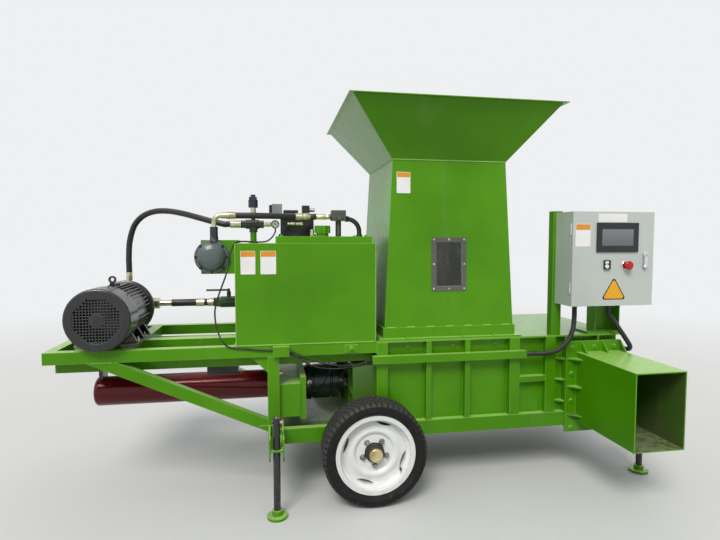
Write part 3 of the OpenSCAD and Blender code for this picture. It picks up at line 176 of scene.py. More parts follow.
class Finish(Nodes):
    """A material on the Principled shader, with short ways to add procedural detail."""

    def __init__(self, name, roughness=0.5, metallic=0.0, coat=0.0, coat_roughness=0.1):
        self.material = bpy.data.materials.new(name)
        self.material.use_nodes = True
        super().__init__(self.material.node_tree)
        self.bsdf = self.tree.nodes["Principled BSDF"]
        self.surface("Metallic", metallic)
        self.surface("Roughness", roughness)
        self.surface("Coat Weight", coat)
        self.surface("Coat Roughness", coat_roughness)
        self.place = self.add("ShaderNodeTexCoord").outputs["Object"]

    def surface(self, quality, value):
        """One quality of the surface, such as its Roughness or its Base Color."""
        self.put(value, self.bsdf.inputs[quality])

    def noise(self, scale, detail=4.0, roughness=0.55, stretch=(1, 1, 1), seed=0.0):
        place = self.add("ShaderNodeMapping", {
            "Vector": self.place, "Scale": stretch, "Location": (seed, seed * 0.7, -seed)})
        return self.add("ShaderNodeTexNoise", {
            "Vector": place.outputs[0], "Scale": scale, "Detail": detail,
            "Roughness": roughness}).outputs["Fac"]

    def remap(self, value, low_in, high_in, low_out=0.0, high_out=1.0):
        return self.add("ShaderNodeMapRange", {
            "Value": value, "From Min": low_in, "From Max": high_in, "To Min": low_out,
            "To Max": high_out}, interpolation_type="SMOOTHSTEP").outputs[0]

    def normal(self):
        return self.add("ShaderNodeNewGeometry").outputs["Normal"]

    def height(self, of=None):
        """The Z of the place on the piece, or of another vector."""
        source = self.place if of is None else of
        return self.add("ShaderNodeSeparateXYZ", {0: source}).outputs["Z"]

    def edges(self, radius):
        """How near a face is to an edge or a corner, from 0 to 1."""
        rounded = self.add("ShaderNodeBevel", {"Radius": radius}, samples=6).outputs[0]
        likeness = self.add("ShaderNodeVectorMath", {0: rounded, 1: self.normal()},
                            operation="DOT_PRODUCT").outputs["Value"]
        return self.remap(likeness, 0.995, 0.8)

    def bump(self, height, strength, distance, soft_edge=0.0):
        """Relief from a height, on edges that are rounded by soft_edge metres."""
        relief = {"Strength": strength, "Distance": distance, "Height": height}
        if soft_edge:
            relief["Normal"] = self.add("ShaderNodeBevel", {"Radius": soft_edge},
                                        samples=4).outputs[0]
        self.surface("Normal", self.add("ShaderNodeBump", relief).outputs[0])


def enamel(name, colour, deep, roughness=0.34, dust=0.12, mud=0.4, orange_peel=0.16, seed=0.0,
           edge=None, lit=None, gloss=(1.0, 1.0, 1.0, 1.0), coat=0.3):
    """Sprayed enamel: uneven colour, edges paler as a painted highlight, tops paler from a painted
    sky sheen and from dust, and mud near the ground.
    """
    f = Finish(name, roughness, coat=coat, coat_roughness=0.12)
    f.surface("Specular Tint", gloss)
    patches = f.remap(f.noise(1.7, 3.0, seed=seed), 0.34, 0.68)
    base = f.mix(patches, srgb(*colour), srgb(*deep))
    runs = f.remap(f.noise(7.0, 5.0, 0.6, (1, 1, 0.1), seed + 3), 0.55, 0.8, 0.0, 0.1)
    base = f.mix(runs, base, DUST)
    # painted sky sheen: faces that look up are mixed towards the lit colour
    if lit:
        tops = f.remap(f.height(f.normal()), 0.8, 0.99, 0.0, 0.75)
        base = f.mix(tops, base, srgb(*lit))
    if edge:
        # painted highlight: edges and corners are mixed towards the edge colour
        base = f.mix(f.math("MULTIPLY", f.edges(0.005), 0.75), base, srgb(*edge))
    grains = f.noise(28.0, 6.0, 0.65, seed=seed + 7)
    upward = f.remap(f.height(f.normal()), 0.35, 0.95, 0.0, dust)
    settled = f.math("MULTIPLY", upward, f.remap(grains, 0.3, 0.66))
    base = f.mix(settled, base, DUST)
    near_ground = f.remap(f.height(), 0.02, 0.36, mud, 0.0)
    splashed = f.math("MULTIPLY", near_ground, f.remap(grains, 0.46, 0.64))
    f.surface("Base Color", f.mix(splashed, base, MUD))
    dull = f.math("ADD", settled, f.remap(grains, 0.2, 0.8, 0.0, 0.25))
    f.surface("Roughness", f.remap(dull, 0.0, 0.6, roughness - 0.06, roughness + 0.24))
    f.bump(f.noise(420.0, 2.0, 0.5), orange_peel, 0.0006, 0.0022)
    return f.material


def bare_metal(name, colour, deep, roughness=0.3, stretch=(1, 1, 1), grain=90.0):
    """Plated, turned or rolled metal with fine lines and stains."""
    f = Finish(name, roughness, metallic=1.0)
    lines = f.noise(grain, 5.0, 0.7, stretch)
    stains = f.remap(f.noise(14.0, 4.0, 0.6, seed=5.0), 0.4, 0.72)
    f.surface("Base Color", f.mix(stains, srgb(*colour), srgb(*deep)))
    f.surface("Roughness", f.remap(lines, 0.25, 0.75, roughness - 0.08, roughness + 0.16))
    f.bump(lines, 0.12, 0.0004, 0.0012)
    return f.material


def moulded(name, colour, deep, roughness=0.45, relief=0.2, dust=0.2):
    """Moulded plastic or rubber with a fine grain and some dust."""
    f = Finish(name, roughness)
    grains = f.noise(260.0, 3.0, 0.6)
    clouds = f.remap(f.noise(9.0, 4.0, 0.6, seed=2.0), 0.35, 0.7)
    base = f.mix(clouds, srgb(*colour), srgb(*deep))
    upward = f.remap(f.height(f.normal()), 0.2, 0.95, 0.0, dust)
    f.surface("Base Color", f.mix(f.math("MULTIPLY", upward, clouds), base, DUST))
    f.surface("Roughness", f.remap(grains, 0.3, 0.7, roughness - 0.07, roughness + 0.12))
    f.bump(grains, relief, 0.0004, 0.001)
    return f.material


# Colour of the painted highlight on green edges
GREEN_EDGE_HIGHLIGHT = (146, 196, 84)
GREEN_GLOSS = (0.7, 1.0, 0.3, 1.0)
RED_GLOSS = (1.0, 0.45, 0.45, 1.0)
# Green enamel with a painted sky sheen on faces that look up
GREEN = enamel("green_enamel", (79, 147, 4), (66, 131, 2), edge=GREEN_EDGE_HIGHLIGHT, lit=(170, 218, 110),
               gloss=GREEN_GLOSS, coat=0.14)
# Paler copy of the green enamel for the top plate: a painted sky sheen
GREEN_PAINTED_SHEEN = enamel("green_enamel_lit", (112, 172, 54), (102, 162, 46), 0.24, 0.0,
                    orange_peel=0.04, edge=GREEN_EDGE_HIGHLIGHT, gloss=GREEN_GLOSS, coat=0.14)
# Paler copy of the green enamel for the weld beads: a painted highlight
GREEN_SEAM_HIGHLIGHT = enamel("green_enamel_seam_highlight", (132, 184, 66), (104, 164, 40), 0.26, 0.2)
GREEN_WORN = enamel("green_enamel_worn", (66, 116, 22), (78, 92, 52), 0.45, 0.35, 0.3)
RED = enamel("red_enamel", (104, 5, 17), (84, 2, 12), 0.24, 0.03, 0.0, seed=4.0,
             gloss=RED_GLOSS, coat=0.18)
# Black enamel with a painted highlight on its edges
BLACK = enamel("black_enamel", (30, 31, 34), (22, 23, 25), 0.34, 0.22, 0.35, seed=2.0,
               edge=(74, 76, 80))
WHITE = enamel("white_enamel", (238, 240, 240), (228, 229, 228), 0.28, 0.05, 0.16, seed=6.0)
NUT_GREY = bare_metal("wheel_nut_steel", (158, 158, 155), (118, 118, 114), 0.45, grain=120.0)
FOOT_GREY = enamel("motor_foot_coat", (122, 124, 120), (98, 100, 97), 0.4, 0.3, 0.0)
CABINET = enamel("cabinet_coat", (196, 203, 198), (186, 193, 188), 0.42, 0.12, 0.0, 0.35)
FILTER = enamel("filter_enamel", (98, 112, 110), (84, 97, 96), 0.36, 0.25, 0.0, seed=1.0)
HEAD = enamel("cylinder_head_enamel", (22, 54, 50), (18, 44, 44), 0.34, 0.1, 0.0, seed=8.0)
# Grey window frame with a painted highlight on its edges
FRAME_GREY = enamel("window_frame_coat", (88, 88, 84), (76, 76, 72), 0.4, 0.1, 0.0,
                    edge=(130, 130, 124))
VALVE_GREEN = enamel("valve_enamel", (26, 78, 40), (20, 64, 34), 0.4, 0.25, 0.0)
CAST = bare_metal("phosphated_iron", (104, 104, 98), (78, 78, 72), 0.55, grain=150.0)
DARK_BLOCK = bare_metal("black_oxide", (66, 68, 68), (48, 50, 52), 0.45, grain=150.0)
ZINC = bare_metal("zinc_plate", (214, 208, 186), (176, 164, 128), 0.28)
STEEL = bare_metal("bright_steel", (206, 206, 204), (178, 178, 174), 0.26)
CHROME = bare_metal("chrome_rod", (222, 223, 224), (206, 207, 208), 0.12, grain=300.0)
POLISHED = bare_metal("polished_handle", (226, 228, 230), (206, 208, 212), 0.1, grain=8.0)
BRASS = bare_metal("worn_brass", (222, 206, 158), (178, 158, 112), 0.36, grain=60.0)
CROP_WORN = bare_metal("crop_worn_steel", (150, 152, 140), (96, 104, 76), 0.42, (1, 0.05, 1))
HOSE = moulded("hose_rubber", (30, 31, 33), (24, 25, 26), 0.42)
CONDUIT = moulded("conduit_plastic", (26, 27, 29), (33, 34, 36), 0.34)
PLASTIC = moulded("black_plastic", (28, 29, 31), (36, 37, 39), 0.36)
GREY_PLASTIC = moulded("grey_plastic", (142, 146, 146), (124, 128, 128), 0.42)
BLUE_PLASTIC = moulded("navy_plastic", (26, 40, 62), (20, 32, 50), 0.35)
RED_PLASTIC = moulded("red_plastic", (206, 28, 24), (178, 18, 18), 0.26, 0.05, 0.1)
LABEL_WHITE = moulded("label_white", (246, 246, 246), (238, 238, 236), 0.32, 0.04)
LABEL_ORANGE = moulded("label_orange", (230, 154, 44), (222, 144, 36), 0.32, 0.04)
LABEL_YELLOW = moulded("label_yellow", (240, 176, 30), (232, 164, 22), 0.32, 0.04)
LABEL_BLACK = moulded("label_black", (30, 30, 30), (24, 24, 24), 0.35, 0.04)


def tyre_rubber():
    f = Finish("tyre_rubber", 0.62)
    f.surface("Specular IOR Level", 0.28)
    grains = f.noise(240.0, 4.0, 0.6)
    dry = f.remap(f.noise(11.0, 5.0, 0.65, seed=4.0), 0.36, 0.7)
    base = f.mix(dry, srgb(14, 15, 15), srgb(20, 20, 21))
    splash = f.math("MULTIPLY", f.remap(f.noise(30.0, 5.0, 0.6), 0.52, 0.68), 0.14)
    f.surface("Base Color", f.mix(splash, base, srgb(96, 88, 76)))
    f.surface("Roughness", f.remap(dry, 0.0, 1.0, 0.55, 0.78))
    f.bump(grains, 0.3, 0.0005)
    return f.material


def pane():
    """Clear plastic, hazed and scratched, painted dark grey as the shade of the hopper behind it,
    which shows through a little.
    """
    f = Finish("hazed_pane", 0.16)
    haze = f.remap(f.noise(12.0, 6.0, 0.7, (1, 1, 0.4)), 0.35, 0.72)
    # painted shade: dark grey for the shaded inside of the hopper
    f.surface("Base Color", f.mix(haze, srgb(44, 47, 46), srgb(68, 71, 68)))
    f.surface("Roughness", f.remap(haze, 0.0, 1.0, 0.1, 0.42))
    f.surface("Alpha", f.remap(haze, 0.0, 1.0, 0.72, 0.88))
    f.bump(f.noise(180.0, 3.0, 0.6, (1, 1, 0.05)), 0.1, 0.0004)
    return f.material


def display():
    """A switched-on screen's plain dark glass, paler towards its top as a painted reflection."""
    f = Finish("screen_glass", 0.1, coat=1.0, coat_roughness=0.04)
    # painted reflection: the glass is paler towards its top
    shade = f.remap(f.height(), 1.34, 1.45)
    f.surface("Base Color", f.mix(shade, srgb(86, 92, 98), srgb(118, 122, 124)))
    f.surface("Roughness", f.remap(f.noise(22.0, 4.0, 0.6), 0.35, 0.7, 0.07, 0.22))
    return f.material


TYRE = tyre_rubber()
# Lighter rubber on the tread blocks and lug tops is a painted highlight, and near-black rubber
# between the blocks is a painted shade
TYRE_TREAD_HIGHLIGHT = moulded("tyre_tread_highlight", (56, 56, 55), (40, 40, 39), 0.7, dust=0.05)
TYRE_GROOVE_SHADE = moulded("tyre_groove_shade", (12, 12, 13), (18, 18, 19), 0.8, dust=0.0)
PANE = pane()
DISPLAY = display()

# Short ways to make meshes


def basis(axis):
    """Two directions across an axis, and the axis itself."""
    axis = Vector(axis).normalized()
    side = (Z if abs(axis.z) < 0.9 else X).cross(axis).normalized()
    return side, axis.cross(side), axis


def turned(side, up, angle):
    return math.cos(angle) * side + math.sin(angle) * up


def ring(bm, centre, side, up, radius, count, turn=0.0):
    return [bm.verts.new(centre + radius * turned(side, up, turn + k * math.tau / count))
            for k in range(count)]


def face(bm, corners, material=0):
    bm.faces.new(corners).material_index = material


def skin(bm, rings, material=0, capped=True):
    """Faces between neighbouring rings of points, and a face over each end."""
    for first, second in zip(rings, rings[1:]):
        for k, point in enumerate(first):
            after = (k + 1) % len(first)
            face(bm, (point, first[after], second[after], second[k]), material)
    if capped:
        face(bm, rings[0][::-1], material)
        face(bm, rings[-1], material)


def lathe(bm, centre, axis, profile, count=32, material=0, turn=0.0, capped=True):
    """A turned form: the profile holds radius and distance along the axis, in metres."""
    side, up, way = basis(axis)
    skin(bm, [ring(bm, centre + d * way, side, up, r, count, turn) for r, d in profile],
         material, capped)


def smooth(points, steps):
    """A Catmull-Rom line through the points."""
    out = []
    for i in range(len(points) - 1):
        p0 = points[i - 1] if i else 2 * points[0] - points[1]
        p1, p2 = points[i], points[i + 1]
        p3 = points[i + 2] if i + 2 < len(points) else 2 * points[-1] - points[-2]
        for k in range(steps):
            t = k / steps
            out.append(0.5 * (2 * p1 + (p2 - p0) * t
                              + (2 * p0 - 5 * p1 + 4 * p2 - p3) * t**2
                              + (3 * p1 - p0 - 3 * p2 + p3) * t**3))
    return out + [points[-1].copy()]


def line_length(points):
    return sum((b - a).length for a, b in zip(points, points[1:]))


def spaced(points, step):
    """The same line with its points a step apart."""
    total = line_length(points)
    count = max(2, round(total / step))
    out, gone, i, here = [points[0].copy()], 0.0, 0, points[0].copy()
    for k in range(1, count):
        goal = total * k / count
        while gone + (points[i + 1] - here).length < goal and i < len(points) - 2:
            gone += (points[i + 1] - here).length
            i += 1
            here = points[i].copy()
        left = (points[i + 1] - here).length
        if left > 0:
            here = here + (points[i + 1] - here) * ((goal - gone) / left)
            gone = goal
        out.append(here.copy())
    return out + [points[-1].copy()]


def sweep(bm, points, radius, count=16, material=0):
    """A tube along the points. The radius is a number, or a function of the point's index."""
    side = None
    rings = []
    for i, p in enumerate(points):
        way = (points[min(i + 1, len(points) - 1)] - points[max(i - 1, 0)]).normalized()
        if side is None:
            side = basis(way)[0]
        side = (side - side.dot(way) * way).normalized()
        r = radius(i) if callable(radius) else radius
        rings.append(ring(bm, p, side, way.cross(side), r, count))
    skin(bm, rings, material)


WASHER_T = 0.0018
RIPPLE = 0.006


def hex_bolt(bm, foot, axis, across=0.019, height=0.0085, stud=0.0, material=0, turn=0.3):
    """A washer and a chamfered hexagon head, with the end of its stud if it is a nut."""
    axis = Vector(axis).normalized()
    r = across / math.sqrt(3)
    lathe(bm, foot - 0.0005 * axis, axis,
          [(r * 1.25, 0), (r * 1.25, WASHER_T), (r * 1.18, WASHER_T + 0.0004)], 24, material)
    top = foot + WASHER_T * axis
    lathe(bm, top, axis, [(r, 0), (r, height * 0.8), (r * 0.88, height)], 6, material, turn)
    if stud:
        s = r * 0.5
        lathe(bm, top + height * axis, axis, [(s, -0.001), (s, stud - 0.0012), (s * 0.8, stud)],
              16, material)


def round_screw(bm, foot, axis, radius=0.005, material=0):
    """A low domed screw head with a round recess."""
    profile = [(radius, -0.0004), (radius, 0.001), (radius * 0.85, 0.0022),
               (radius * 0.45, 0.0028), (radius * 0.4, 0.0016), (radius * 0.1, 0.0016)]
    lathe(bm, foot, axis, profile, 18, material)


def weld(bm, a, b, width=0.008):
    """A weld bead from a to b, rippled along its length."""
    a, b = Vector(a), Vector(b)
    count = max(3, int((b - a).length / (RIPPLE / 2)))
    side, up = basis(b - a)[:2]
    rings = []
    for i in range(count + 1):
        r = width / 2 * (1.0 + 0.14 * (1 if i % 2 else -1) + 0.06 * math.sin(i * 1.7))
        r *= min(1.0, 0.45 + 0.3 * min(i, count - i))
        rings.append(ring(bm, a + (b - a) * (i / count), side, up, r, 8))
    skin(bm, rings)


def rounded_plate(bm, centre, right, up, width, height, thick, radius=0.004, material=0):
    """A thin plate with rounded corners, its back on centre's plane."""
    right, up = Vector(right).normalized(), Vector(up).normalized()
    out = right.cross(up)
    corners = []
    for sx, sy, start in ((1, 1, 0), (-1, 1, 1), (-1, -1, 2), (1, -1, 3)):
        cx, cy = sx * (width / 2 - radius), sy * (height / 2 - radius)
        for k in range(5):
            t = (start + k / 4) * math.pi / 2
            corners.append(centre + right * (cx + radius * math.cos(t))
                           + up * (cy + radius * math.sin(t)))
    skin(bm, [[bm.verts.new(p + d * out) for p in corners] for d in (-0.0004, thick)], material)


def finish_piece(name, bm, materials, body, angle=35.0):
    """Turns the mesh into a named piece that rides on a body."""
    bmesh.ops.recalc_face_normals(bm, faces=bm.faces)
    mesh = bpy.data.meshes.new(name)
    bm.to_mesh(mesh)
    bm.free()
    for m in materials:
        mesh.materials.append(m)
    mesh.polygons.foreach_set("use_smooth", [True] * len(mesh.polygons))
    mesh.set_sharp_from_angle(angle=math.radians(angle))
    piece = in_scene(name, mesh)
    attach(piece, body)
    return piece


def dress(node, materials, choose=lambda c, n: 0):
    """Better materials for a CAD node: choose gives a face's own from its middle and normal."""
    mesh = NODES[node].data
    mesh.materials.clear()
    for m in materials:
        mesh.materials.append(m)
    for p in mesh.polygons:
        p.material_index = choose(p.center, p.normal)


# Hoses and cables, along the same routes as the CAD solids

PRESSURE_ROUTE = [(-1415, 180, 1175), (-1415, 180, 1195), (-1415, 180, 1215),
                  (-1415, 180, 1273), (-1407, 180, 1368), (-1375, 165, 1462),
                  (-1317, 135, 1520), (-1241, 95, 1547), (-1154, 45, 1548),
                  (-1057, -15, 1531), (-961, -80, 1505), (-886, -125, 1484),
                  (-811, -150, 1466), (-793, -150, 1466), (-775, -150, 1466)]
RETURN_ROUTE = [(-790, -237, 1512), (-765, -237, 1512), (-740, -237, 1512),
                (-640, -228, 1512), (-540, -205, 1512), (-460, -176, 1512),
                (-410, -155, 1512), (-388, -150, 1512), (-373, -150, 1512),
                (-358, -150, 1512)]
CONDUIT_ROUTE = [(873, -516, 729), (895, -516, 729), (920, -516, 729), (1000, -522, 730),
                 (1060, -535, 748), (1110, -552, 800), (1132, -565, 870),
                 (1136, -570, 940), (1136, -570, 975), (1136, -570, 1001)]
OUTLET_ROUTE = [(1345, -570, 1001), (1345, -570, 988), (1345, -570, 975),
                (1354, -570, 950), (1388, -566, 912), (1433, -560, 858),
                (1484, -548, 800), (1522, -532, 758), (1550, -495, 730),
                (1558, -458, 720), (1554, -432, 720), (1544, -424, 720),
                (1532, -424, 720), (1520, -424, 720)]
UPPER_LEAD = [(-458, -519, 793), (-451, -519, 793), (-444, -519, 793), (-398, -519, 770),
              (-326, -519, 737), (-211, -519, 710), (-151, -519, 706), (-69, -519, 716),
              (-44, -519, 724), (-29, -519, 724), (-14, -519, 724)]
LOWER_LEAD = [(-458, -512, 783), (-451, -512, 783), (-444, -512, 783), (-398, -512, 748),
              (-326, -512, 708), (-277, -512, 696), (-211, -512, 690), (-151, -512, 693),
              (-69, -512, 702), (-44, -512, 712), (-29, -512, 712), (-14, -512, 712)]
SENSOR_LEAD = [(-458, -505, 775), (-449, -505, 773), (-440, -505, 771), (-330, -500, 735),
               (-240, -470, 700), (-225, -420, 668), (-238, -380, 630), (-262, -330, 560),
               (-300, -290, 500), (-330, -268, 538), (-332, -252, 545), (-332, -243, 545),
               (-332, -234, 545)]
GAUGE_LEAD = [(-521, -151, 1442), (-521, -151, 1432), (-521, -151, 1422),
              (-541, -165, 1390), (-575, -188, 1367), (-640, -196, 1364),
              (-700, -204, 1367), (-738, -246, 1362), (-752, -300, 1342),
              (-768, -370, 1280), (-780, -420, 1195), (-815, -440, 1095),
              (-835, -450, 1020), (-834, -462, 955), (-818, -482, 895), (-796, -502, 855),
              (-760, -507, 824), (-676, -507, 812), (-600, -507, 802), (-565, -507, 800),
              (-553, -507, 800), (-541, -507, 800)]
HOSE_D = 0.0345
CONDUIT_D = 0.0265
GAUGE_LEAD_D = 0.009
LEAD_D = 0.007
SLEEVE_L = 0.052
SLEEVE_RINGS = 6


def crimped_sleeve(name, r, end, way):
    """A ringed zinc sleeve that clamps the end of a hose with radius r."""
    bm = bmesh.new()
    profile = [(r * 1.02, 0.0)]
    for k in range(SLEEVE_RINGS):
        d = 0.006 + k * (SLEEVE_L - 0.012) / SLEEVE_RINGS
        profile += [(r * 1.16, d), (r * 1.16, d + 0.004), (r * 1.09, d + 0.005)]
    profile += [(r * 1.09, SLEEVE_L - 0.004), (r * 1.02, SLEEVE_L)]
    lathe(bm, end, way, profile, 28)
    return finish_piece(name, bm, [ZINC], "machine")


def hose(name, route, diameter, material, step=0.004, corrugated=False,
         crimped=False):
    """A hose or cable along its CAD route, with ribs where it is corrugated conduit."""
    line = spaced(smooth([at(*p) for p in route], 12), step)
    r = diameter / 2
    waves = (1.03, 1.03, 0.93)
    bm = bmesh.new()
    sweep(bm, line, (lambda i: r * waves[i % 3]) if corrugated else r,
          20 if diameter > 0.02 else 10)
    piece = finish_piece(name, bm, [material], "machine", 50)
    sleeves = []
    if crimped:
        sleeves = [crimped_sleeve(f"{name}_sleeve_{which}", r, end, (ahead - end).normalized())
                   for which, end, ahead in (("first", line[0], line[3]),
                                             ("last", line[-1], line[-4]))]
    return piece


pressure = hose("pressure_hose_run", PRESSURE_ROUTE, HOSE_D, HOSE)
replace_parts(pressure, "pressure_hose")
returning = hose("return_hose_run", RETURN_ROUTE, HOSE_D, HOSE,
                 crimped=True)
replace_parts(returning, "return_hose")
inlet = hose("conduit_inlet", CONDUIT_ROUTE, CONDUIT_D, CONDUIT, 0.0016, True)
hose("conduit_outlet", OUTLET_ROUTE, CONDUIT_D, CONDUIT, 0.0016, True)
hose("gauge_lead", GAUGE_LEAD, GAUGE_LEAD_D, CONDUIT, 0.006)
hose("upper_lead", UPPER_LEAD, LEAD_D, CONDUIT, 0.006)
hose("lower_lead", LOWER_LEAD, LEAD_D, CONDUIT, 0.006)
hose("sensor_lead", SENSOR_LEAD, LEAD_D, CONDUIT, 0.004)
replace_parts(inlet, "cable_conduit")

# Fittings at the return hose's far end, which the CAD node holds beside the hose

bm = bmesh.new()
line_y, line_z = RETURN_ROUTE[-1][1:]
for x, profile, count, material in (
    (-358, [(0.0205, 0), (0.0205, 0.036), (0.019, 0.041)], 36, 0),
    (-317, [(0.0172, 0), (0.018, 0.003), (0.018, 0.033), (0.0172, 0.036)], 36, 1),
    (-281, [(0.015, 0), (0.016, 0.002), (0.016, 0.059)], 36, 0),
    (-222, [(0.0165, 0), (0.0178, 0.002), (0.0178, 0.021), (0.0165, 0.023)], 6, 0),
):
    lathe(bm, at(x, line_y, line_z), X, profile, count, material)
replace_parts(finish_piece("return_couplings", bm, [ZINC, BLACK], "machine"),
            "return_hose")

# Small hydraulic parts on the tank's lid: the gauge's face, couplings and a bent pipe

GAUGE = at(-521, -162, 1466)
GAUGE_TICKS = 11
bm = bmesh.new()
lathe(bm, GAUGE + 0.0003 * Y, -Y, [(0.0198, 0.0), (0.0198, 0.0006)], 40, 0)
lathe(bm, GAUGE, -Y, [(0.003, 0.0), (0.003, 0.0022), (0.0018, 0.0028)], 20, 1)


def gauge_mark(lift, way, corners):
    """A flat black mark on the dial, its corners given across and along its way, in metres."""
    across = Y.cross(way)
    face(bm, [bm.verts.new(GAUGE - lift * Y + i * across + j * way) for i, j in corners], 1)


for k in range(GAUGE_TICKS):
    gauge_mark(0.0008, turned(X, Z, math.radians(225 - 27 * k)),
               ((-0.0006, 0.0152), (0.0006, 0.0152), (0.0006, 0.0182), (-0.0006, 0.0182)))
gauge_mark(0.0014, Vector((-0.6, 0, 0.8)),
           ((-0.0008, -0.004), (0.0008, -0.004), (0.0003, 0.0165), (-0.0003, 0.0165)))
for x in (-448, -400):
    lathe(bm, at(x, -84, 1471), X,
          [(0.0085, 0), (0.01, 0.001), (0.01, 0.01), (0.008, 0.011), (0.008, 0.018),
           (0.0105, 0.019), (0.0105, 0.043), (0.0095, 0.044)], 28, 2)
for x in (-430, -375):
    lathe(bm, at(x, -84, 1471), Y, [(0.007, -0.004), (0.007, 0.0125)], 24, 2)
BEND_MID = at(-99, -150, 1425)
BEND_R = 0.075
BEND_STEPS = 12
bend = [at(-109.2, -150, 1500)]
for k in range(BEND_STEPS + 1):
    bend.append(BEND_MID + BEND_R * turned(X, Z, math.radians(90 - 90 / BEND_STEPS * k)))
bend.append(at(-24, -150, high("tank_lid").z / MM - 0.3))
sweep(bm, bend, 0.014, 20, 3)
lathe(bm, bend[-1], Z, [(0.02, 0), (0.02, 0.012), (0.0182, 0.014)], 6, 3)
lathe(bm, bend[0], X, [(0.0195, 0), (0.0195, 0.018), (0.018, 0.02)], 6, 3)
finish_piece("tank_top_details", bm, [LABEL_WHITE, LABEL_BLACK, ZINC, BLACK], "machine")

# Materials of the CAD nodes, where a node's faces are told apart by their middles

JACKS = ("jack_left_near", "jack_left_far", "jack_right_near", "jack_right_far")
for node in NODES:
    dress(node, [GREEN])
for node, material in (("axle", BLACK), ("bell_housing", BLACK), ("fan_cowl", BLACK),
                       ("rim_near", WHITE), ("rim_far", WHITE), ("window_frame", FRAME_GREY),
                       ("window_pane", PANE), ("top_plate", GREEN_PAINTED_SHEEN),
                       ("eject_cylinder", RED), ("touch_screen", PLASTIC)):
    dress(node, [material])

GLAND_TOP = 1.0128
for node in ("cabinet_box", "cabinet_door"):
    dress(node, [CABINET, PLASTIC], lambda c, n: int(c.z < GLAND_TOP))
FOOT_T = 0.018
dress("motor", [BLACK, FOOT_GREY], lambda c, n: int(c.z < DECK_Z + FOOT_T))

COLLAR_TOP = 0.0401
PIN_HALF_W, PIN_REACH, PIN_DEPTH = 0.0125, 0.045, 0.045
for node in JACKS:

    def jack_part(c, n, leg=middle(node), leg_top=high(node).z, pin_x=low(node).x + PIN_REACH):
        if c.z < COLLAR_TOP:
            return 1
        pin = abs(c.y - leg.y) < PIN_HALF_W and 0 < leg_top - c.z < PIN_DEPTH
        return 2 if pin and c.x > pin_x else 0

    dress(node, [BLACK, GREEN, ZINC], jack_part)


def faces_middle(way, n):
    """Walls that look towards the middle of the crop's way are worn by it."""
    return int(way.normalized().dot(n) > 0.3)


for node in ("hopper_shaft", "hopper_flare"):
    dress(node, [GREEN, GREEN_WORN],
          lambda c, n: faces_middle(Vector((HOPPER_X - c.x, MID_Y - c.y, 0)), n))
CHUTE_MID = middle("chute")
dress("chute", [GREEN, GREEN_WORN],
      lambda c, n: faces_middle(Vector((CHUTE_MID.x - c.x, 0, CHUTE_MID.z - c.z)), n))
# The liner is worn on its inner faces, and the end wall's outside isn't
LINER_X, LINER_Y, LINER_Z = (-0.1, 1.475), (-0.452, 0.252), (0.3, 0.76)
dress("chamber_liner", [GREEN, GREEN_WORN],
      lambda c, n: int(LINER_X[0] < c.x < LINER_X[1] and LINER_Y[0] < c.y < LINER_Y[1]
                       and LINER_Z[0] < c.z < LINER_Z[1] and n.x < 0.5))

HUB_CAP_D = 0.5635
for node, sign in (("hub_near", 1), ("hub_far", -1)):
    dress(node, [BLACK, BRASS],
          lambda c, n, sign=sign: int(sign * (c.y - MID_Y) < -HUB_CAP_D))

ROD_R, ROD_END_X = 0.047, -0.111


def ram_part(c, n):
    if math.hypot(c.y - MID_Y, c.z - RAM_Z) < ROD_R and c.x < ROD_END_X:
        return 1
    return 2 if n.x > 0.9 else 0


dress("ram", [GREEN_WORN, CHROME, CROP_WORN], ram_part)
EJECT_X, EJECT_Z, EJECT_ROD_R = middle("eject_cylinder").x, 0.527, 0.033
dress("eject_ram", [CROP_WORN, CHROME],
      lambda c, n: int(math.hypot(c.x - EJECT_X, c.z - EJECT_Z) < EJECT_ROD_R))

HEAD_X = high("thrust_beam").x
HEAD_FLANGE_T, HEAD_BORE_R = 0.03, 0.074
# The black hanger outside the tube at its left end, and the black port block on its top
HANGER_X, TUBE_R = -1.4, 0.0835
PORT_X, PORT_Z = (-0.93, -0.73), 0.602
# Sensor plugs on the cylinder's head: x from the thrust beam, z, radius and start from the middle
PLUGS = ((0.036, 0.545, 0.0136, 0.1085), (0.225, 0.539, 0.0116, 0.0725))


def cylinder_part(c, n):
    away = math.hypot(c.y - MID_Y, c.z - RAM_Z)
    for x, z, radius, start in PLUGS:
        if math.hypot(c.x - HEAD_X - x, c.z - z) < radius and c.y < MID_Y - start:
            return 2
    if c.x > HEAD_X + HEAD_FLANGE_T:
        return 3 if away < HEAD_BORE_R else 1
    hanger = c.x < HANGER_X and away > TUBE_R
    return 4 if hanger or PORT_X[0] < c.x < PORT_X[1] and c.z > PORT_Z else 0


dress("main_cylinder", [RED, HEAD, ZINC, CAST, BLACK], cylinder_part)
PUMP_PORT_Z, PUMP_PORT_Y = 1.0985, 0.15
dress("pump", [CAST, ZINC], lambda c, n: int(c.z > PUMP_PORT_Z and c.y > PUMP_PORT_Y))

# The suction line's ball valve: where its green body starts, and above it the zinc stem and nut
# with the black lever between them
VALVE_X, STEM_Z, LEVER_X, LEVER_Z = -0.8851, 1.0535, -0.825, (1.0545, 1.0675)
# Steel pipe and ferrules of the suction line, from their left to their right ends
SUCTION_ZINC = ((-1.3, -1.1551), (-1.0081, -0.9599), (-0.9401, -0.9049))


def suction_part(c, n):
    if c.z > STEM_Z:
        return 0 if c.x < LEVER_X or LEVER_Z[0] < c.z < LEVER_Z[1] else 1
    if c.x > VALVE_X:
        return 2
    return int(any(a < c.x < b for a, b in SUCTION_ZINC))


dress("suction_line", [HOSE, ZINC, VALVE_GREEN], suction_part)

TANK_TOP = high("oil_tank").z
